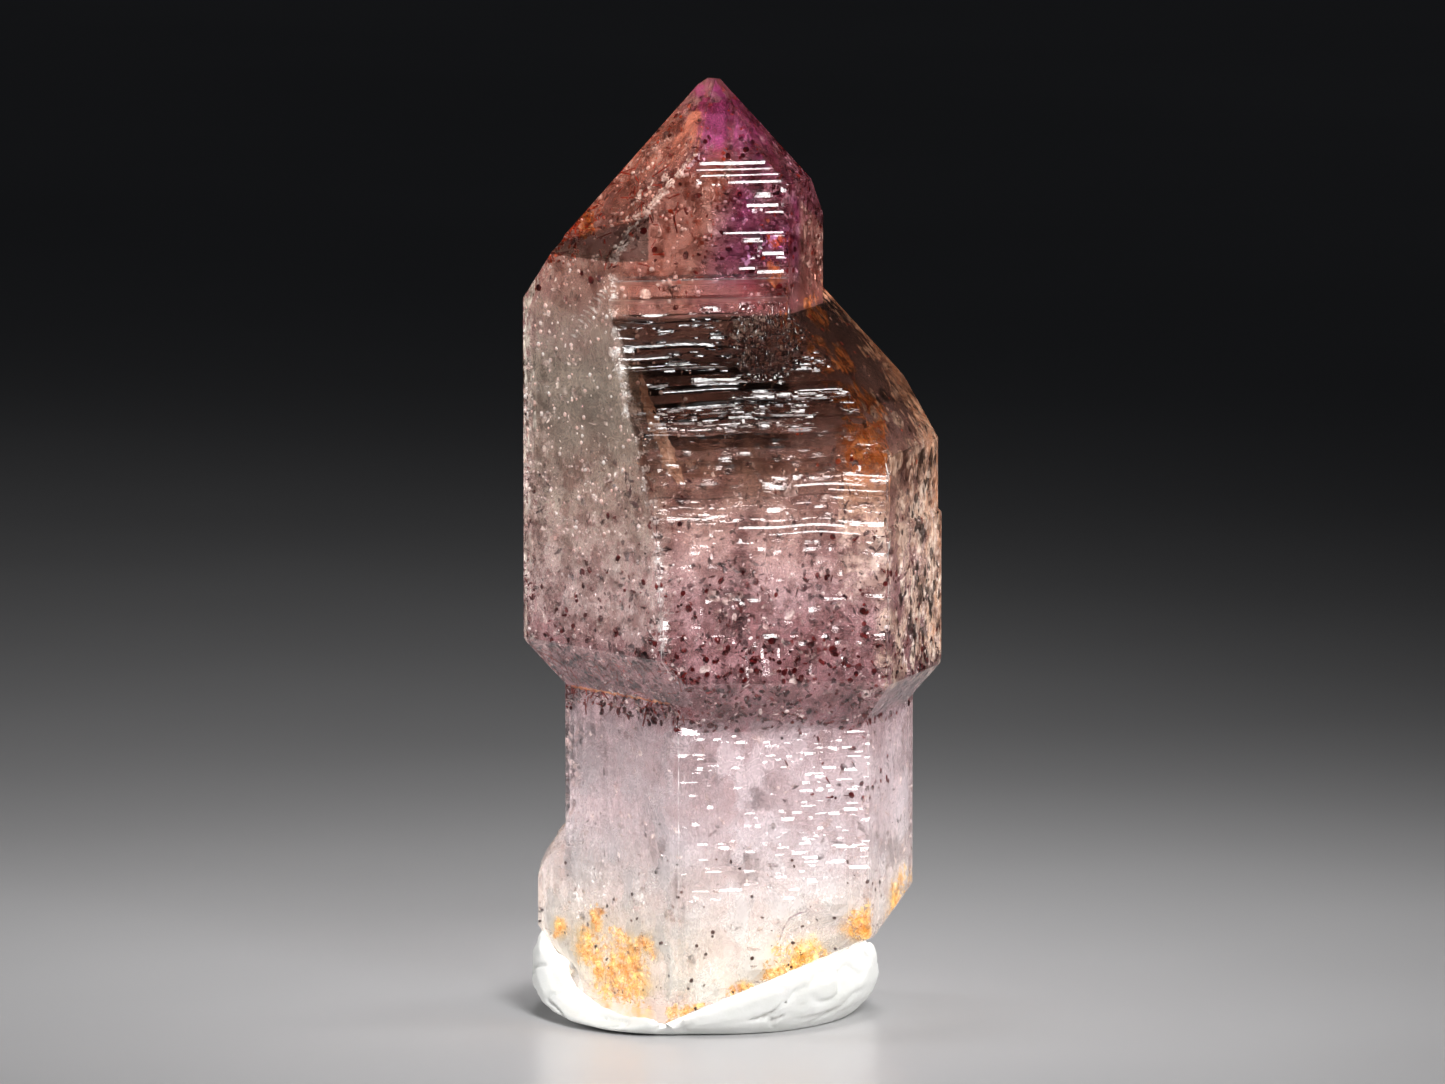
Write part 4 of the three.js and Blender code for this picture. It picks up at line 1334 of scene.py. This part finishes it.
def sheet_material():
    material = new_material("stained growth sheet")
    spot = add("VectorMath SCALE", {0: add("TexCoord").outputs["Object"], "Scale": 1 / MM})
    apart = add("SeparateXYZ", spot)
    streaky = add("VectorMath MULTIPLY", spot, (1.2, 1.2, 1.5))
    streaks = add("TexNoise", {"Vector": streaky, "Scale": 1.5, "Detail": 5.0, "Roughness": 0.65})
    share = add("MapRange", apart.outputs["Z"], SHEET["bottom"], SHEET["top"])
    colour = add("ValToRGB", share, stops=[(0.0, "#f0d8cc"), (0.35, "#fff0e2"), (0.62, "#fcdcc0"),
                                           (0.75, "#d07c38"), (1.0, "#a0541c")])
    ragged = add("Math MULTIPLY_ADD", streaks, 3.0, apart.outputs["X"])
    covers = add("MapRange", streaks, 0.38, 0.56, 0.15, 1.0)
    covers = add("Math MULTIPLY", covers, add("MapRange", share, 0.0, 0.2))
    past_rim = add("MapRange", ragged, SHEET["left"] + 1.3, SHEET["left"] + 2.4)
    covers = add("Math MULTIPLY", covers, past_rim)
    add("OutputMaterial", add("BsdfPrincipled", {"Base Color": colour, "Roughness": 0.5, "Alpha": covers}))
    return material


# The painted rim light, as flakes along each silhouette.
for name, bearing, count, spread, dark, light, path in PAINTED_RIM_LIGHTS:
    places, turns = painted_rim_light_places(draw, path, bearing, count, spread)
    finish = ("flakes for the " + name.replace("_", " "), dark, light, (0.1, 0.7), 0.3)
    flakes(name, (0.25, 1.1), 7, finish, places, draw, turns)
# The painted edge highlights, as ribbons.
LARGER = [("painted_edge_highlight_" + str(number), ribbon_shape(path, (1, 0, 0), 0.07), flake_material(*EDGE_HIGHLIGHT_FINISH))
          for number, path in enumerate(PAINTED_EDGE_HIGHLIGHTS)]
LARGER += [
    ("chip_lip", ribbon_shape(CHIP_LIP, (0.7, 0, -0.7), 0.13), flake_material(*LIP_FINISH)),
    ("healed_crack", tube_shape(TUBE_PATH),
     flake_material("tan healed crack", "#a47c68", "#ecccb4", (0.6, 1.0), 0.4)),
    ("feather_crack", feather_shape(),
     flake_material("pale ribs of a crack", "#c8bcb0", "#ffffff", (0.4, 0.9), 0.2)),
    ("stained_sheet", sheet_shape(), sheet_material()),
    ("junction_line", junction_shape(),
     flake_material("orange line at the joint", "#e07030", "#ffbc80", (0.7, 1.0), 0.4)),
]
for name, shape, material in LARGER:
    mesh_piece(name, *shape, material)
print("larger inclusions:", [(name, len(shape[1])) for name, shape, _ in LARGER])

# %% [markdown]
# ## The putty
#
# The wad is poster putty, rolled and pressed by hand. Its skin is matt, with soft lumps, and with creases
# where it was folded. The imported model's wad is remeshed evenly and then its skin is pressed in. Where it
# touches the crystal it follows the crystal's own foot, so no gap shows.

# %% The putty's shape
PUTTY_CELL = 0.16
PUTTY_LUMPS = {"scale": 0.42, "depth": 0.22}
PUTTY_CREASES = {"scale": 0.55, "depth": 0.42, "width": 0.06}
PUTTY_FOLDS = {"middle": Vector((4.5, -4.2, 3.6)), "reach": 3.8, "depth": 0.45}
PUTTY_MIDDLE = Vector((-1.5, 0.5, 0))
# The height of the rim all round: bearings, and the share of the model's height at each.
PUTTY_RIM = [(-180, -95, -75, -55, -38, -22, -10, 180), (1, 1, 0.66, 0.4, 0.45, 0.75, 1, 1)]
TOUCHING = 0.5
FILM = 0.012


def even_mesh(source, cell):
    """A copy of a mesh in millimetres, made again of even small squares."""
    coarse = source.data.copy()
    coarse.transform(Matrix.Scale(1 / MM, 4))
    draft = bpy.data.objects.new("draft", coarse)
    bpy.context.scene.collection.objects.link(draft)
    remesh = draft.modifiers.new("even", "REMESH")
    remesh.mode = "VOXEL"
    remesh.voxel_size = cell
    ready = draft.evaluated_get(bpy.context.evaluated_depsgraph_get())
    mesh = bpy.data.meshes.new_from_object(ready)
    bpy.data.objects.remove(draft)
    return mesh


def pressed(place):
    """How far in the skin goes at a place."""
    lumps = abs(noise.noise(place * PUTTY_LUMPS["scale"])) * PUTTY_LUMPS["depth"]
    bent = place + Vector((noise.noise(place * 0.5), noise.noise(place * 0.5 + Vector((7, 3, 1))), 0)) * 1.6
    line = noise.noise(Vector((bent.x * 0.6, bent.y * 0.6, bent.z * 2.0)) * PUTTY_CREASES["scale"])
    here = max(0.0, noise.noise(place * 0.33 + Vector((2, 9, 4))) + 0.15)
    crease = math.exp(-(line / PUTTY_CREASES["width"]) ** 2) * PUTTY_CREASES["depth"] * min(1.0, here * 3)
    near = max(0.0, 1 - (place - PUTTY_FOLDS["middle"]).length / PUTTY_FOLDS["reach"])
    across = (bent - PUTTY_FOLDS["middle"]).dot(Vector((0.35, -0.55, 0.75)))
    folds = (0.5 + 0.5 * math.sin(across * 7.0)) ** 3 * PUTTY_FOLDS["depth"] * near
    return lumps + crease + folds + 0.012 * noise.noise(place * 7)


def shape_putty(mesh):
    """The wad is low at its front left, where the crystal goes deepest, and touches the crystal all round."""
    outs = [v.normal.copy() for v in mesh.vertices]
    for corner, out in zip(mesh.vertices, outs):
        place = corner.co.copy()
        from_middle = place - PUTTY_MIDDLE
        place.z *= float(np.interp(math.degrees(math.atan2(from_middle.x, -from_middle.y)), *PUTTY_RIM))
        here, away, _, distance = surface.find_nearest(place)
        inside = (place - here).dot(away) <= 0
        free = 0.0 if inside else min(1.0, max(0.0, distance / TOUCHING - 1))
        above_ground = min(1.0, max(0.0, (place.z - 0.15) / 0.6))
        moved = place - out * pressed(place) * above_ground * free
        if inside or distance < TOUCHING:
            held = 1.0 if inside else (1 - distance / TOUCHING) ** 0.5
            moved = moved.lerp(here + away * FILM, held)
        corner.co = (moved.x, moved.y, max(moved.z, 0.0))


def putty_material():
    material = new_material("matt white poster putty")
    spot = add("VectorMath SCALE", {0: add("TexCoord").outputs["Object"], "Scale": 1 / MM})
    blotches = add("TexNoise", {"Vector": spot, "Scale": 0.6, "Detail": 4.0})
    colour = add("ValToRGB", blotches, stops=[(0.35, "#f6f7f2"), (0.65, "#fefefb")])
    skin = add("TexNoise", {"Vector": spot, "Scale": 6.0, "Detail": 5.0, "Roughness": 0.6})
    rough = add("MapRange", skin, 0.0, 1.0, 0.55, 0.8)
    bump = add("Bump", {"Height": skin, "Strength": 0.6, "Distance": 0.03 * MM})
    add("OutputMaterial", add("BsdfPrincipled", {"Base Color": colour, "Roughness": rough, "Normal": bump}))
    return material


mesh = even_mesh(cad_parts[PUTTY_NODE], PUTTY_CELL)
shape_putty(mesh)
mesh.transform(Matrix.Scale(MM, 4))
mesh.polygons.foreach_set("use_smooth", [True] * len(mesh.polygons))
putty = put_on_body("putty", mesh, putty_material(), casts_shadow=True)
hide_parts(PUTTY_NODE)
print("putty:", len(putty.data.polygons), "faces")
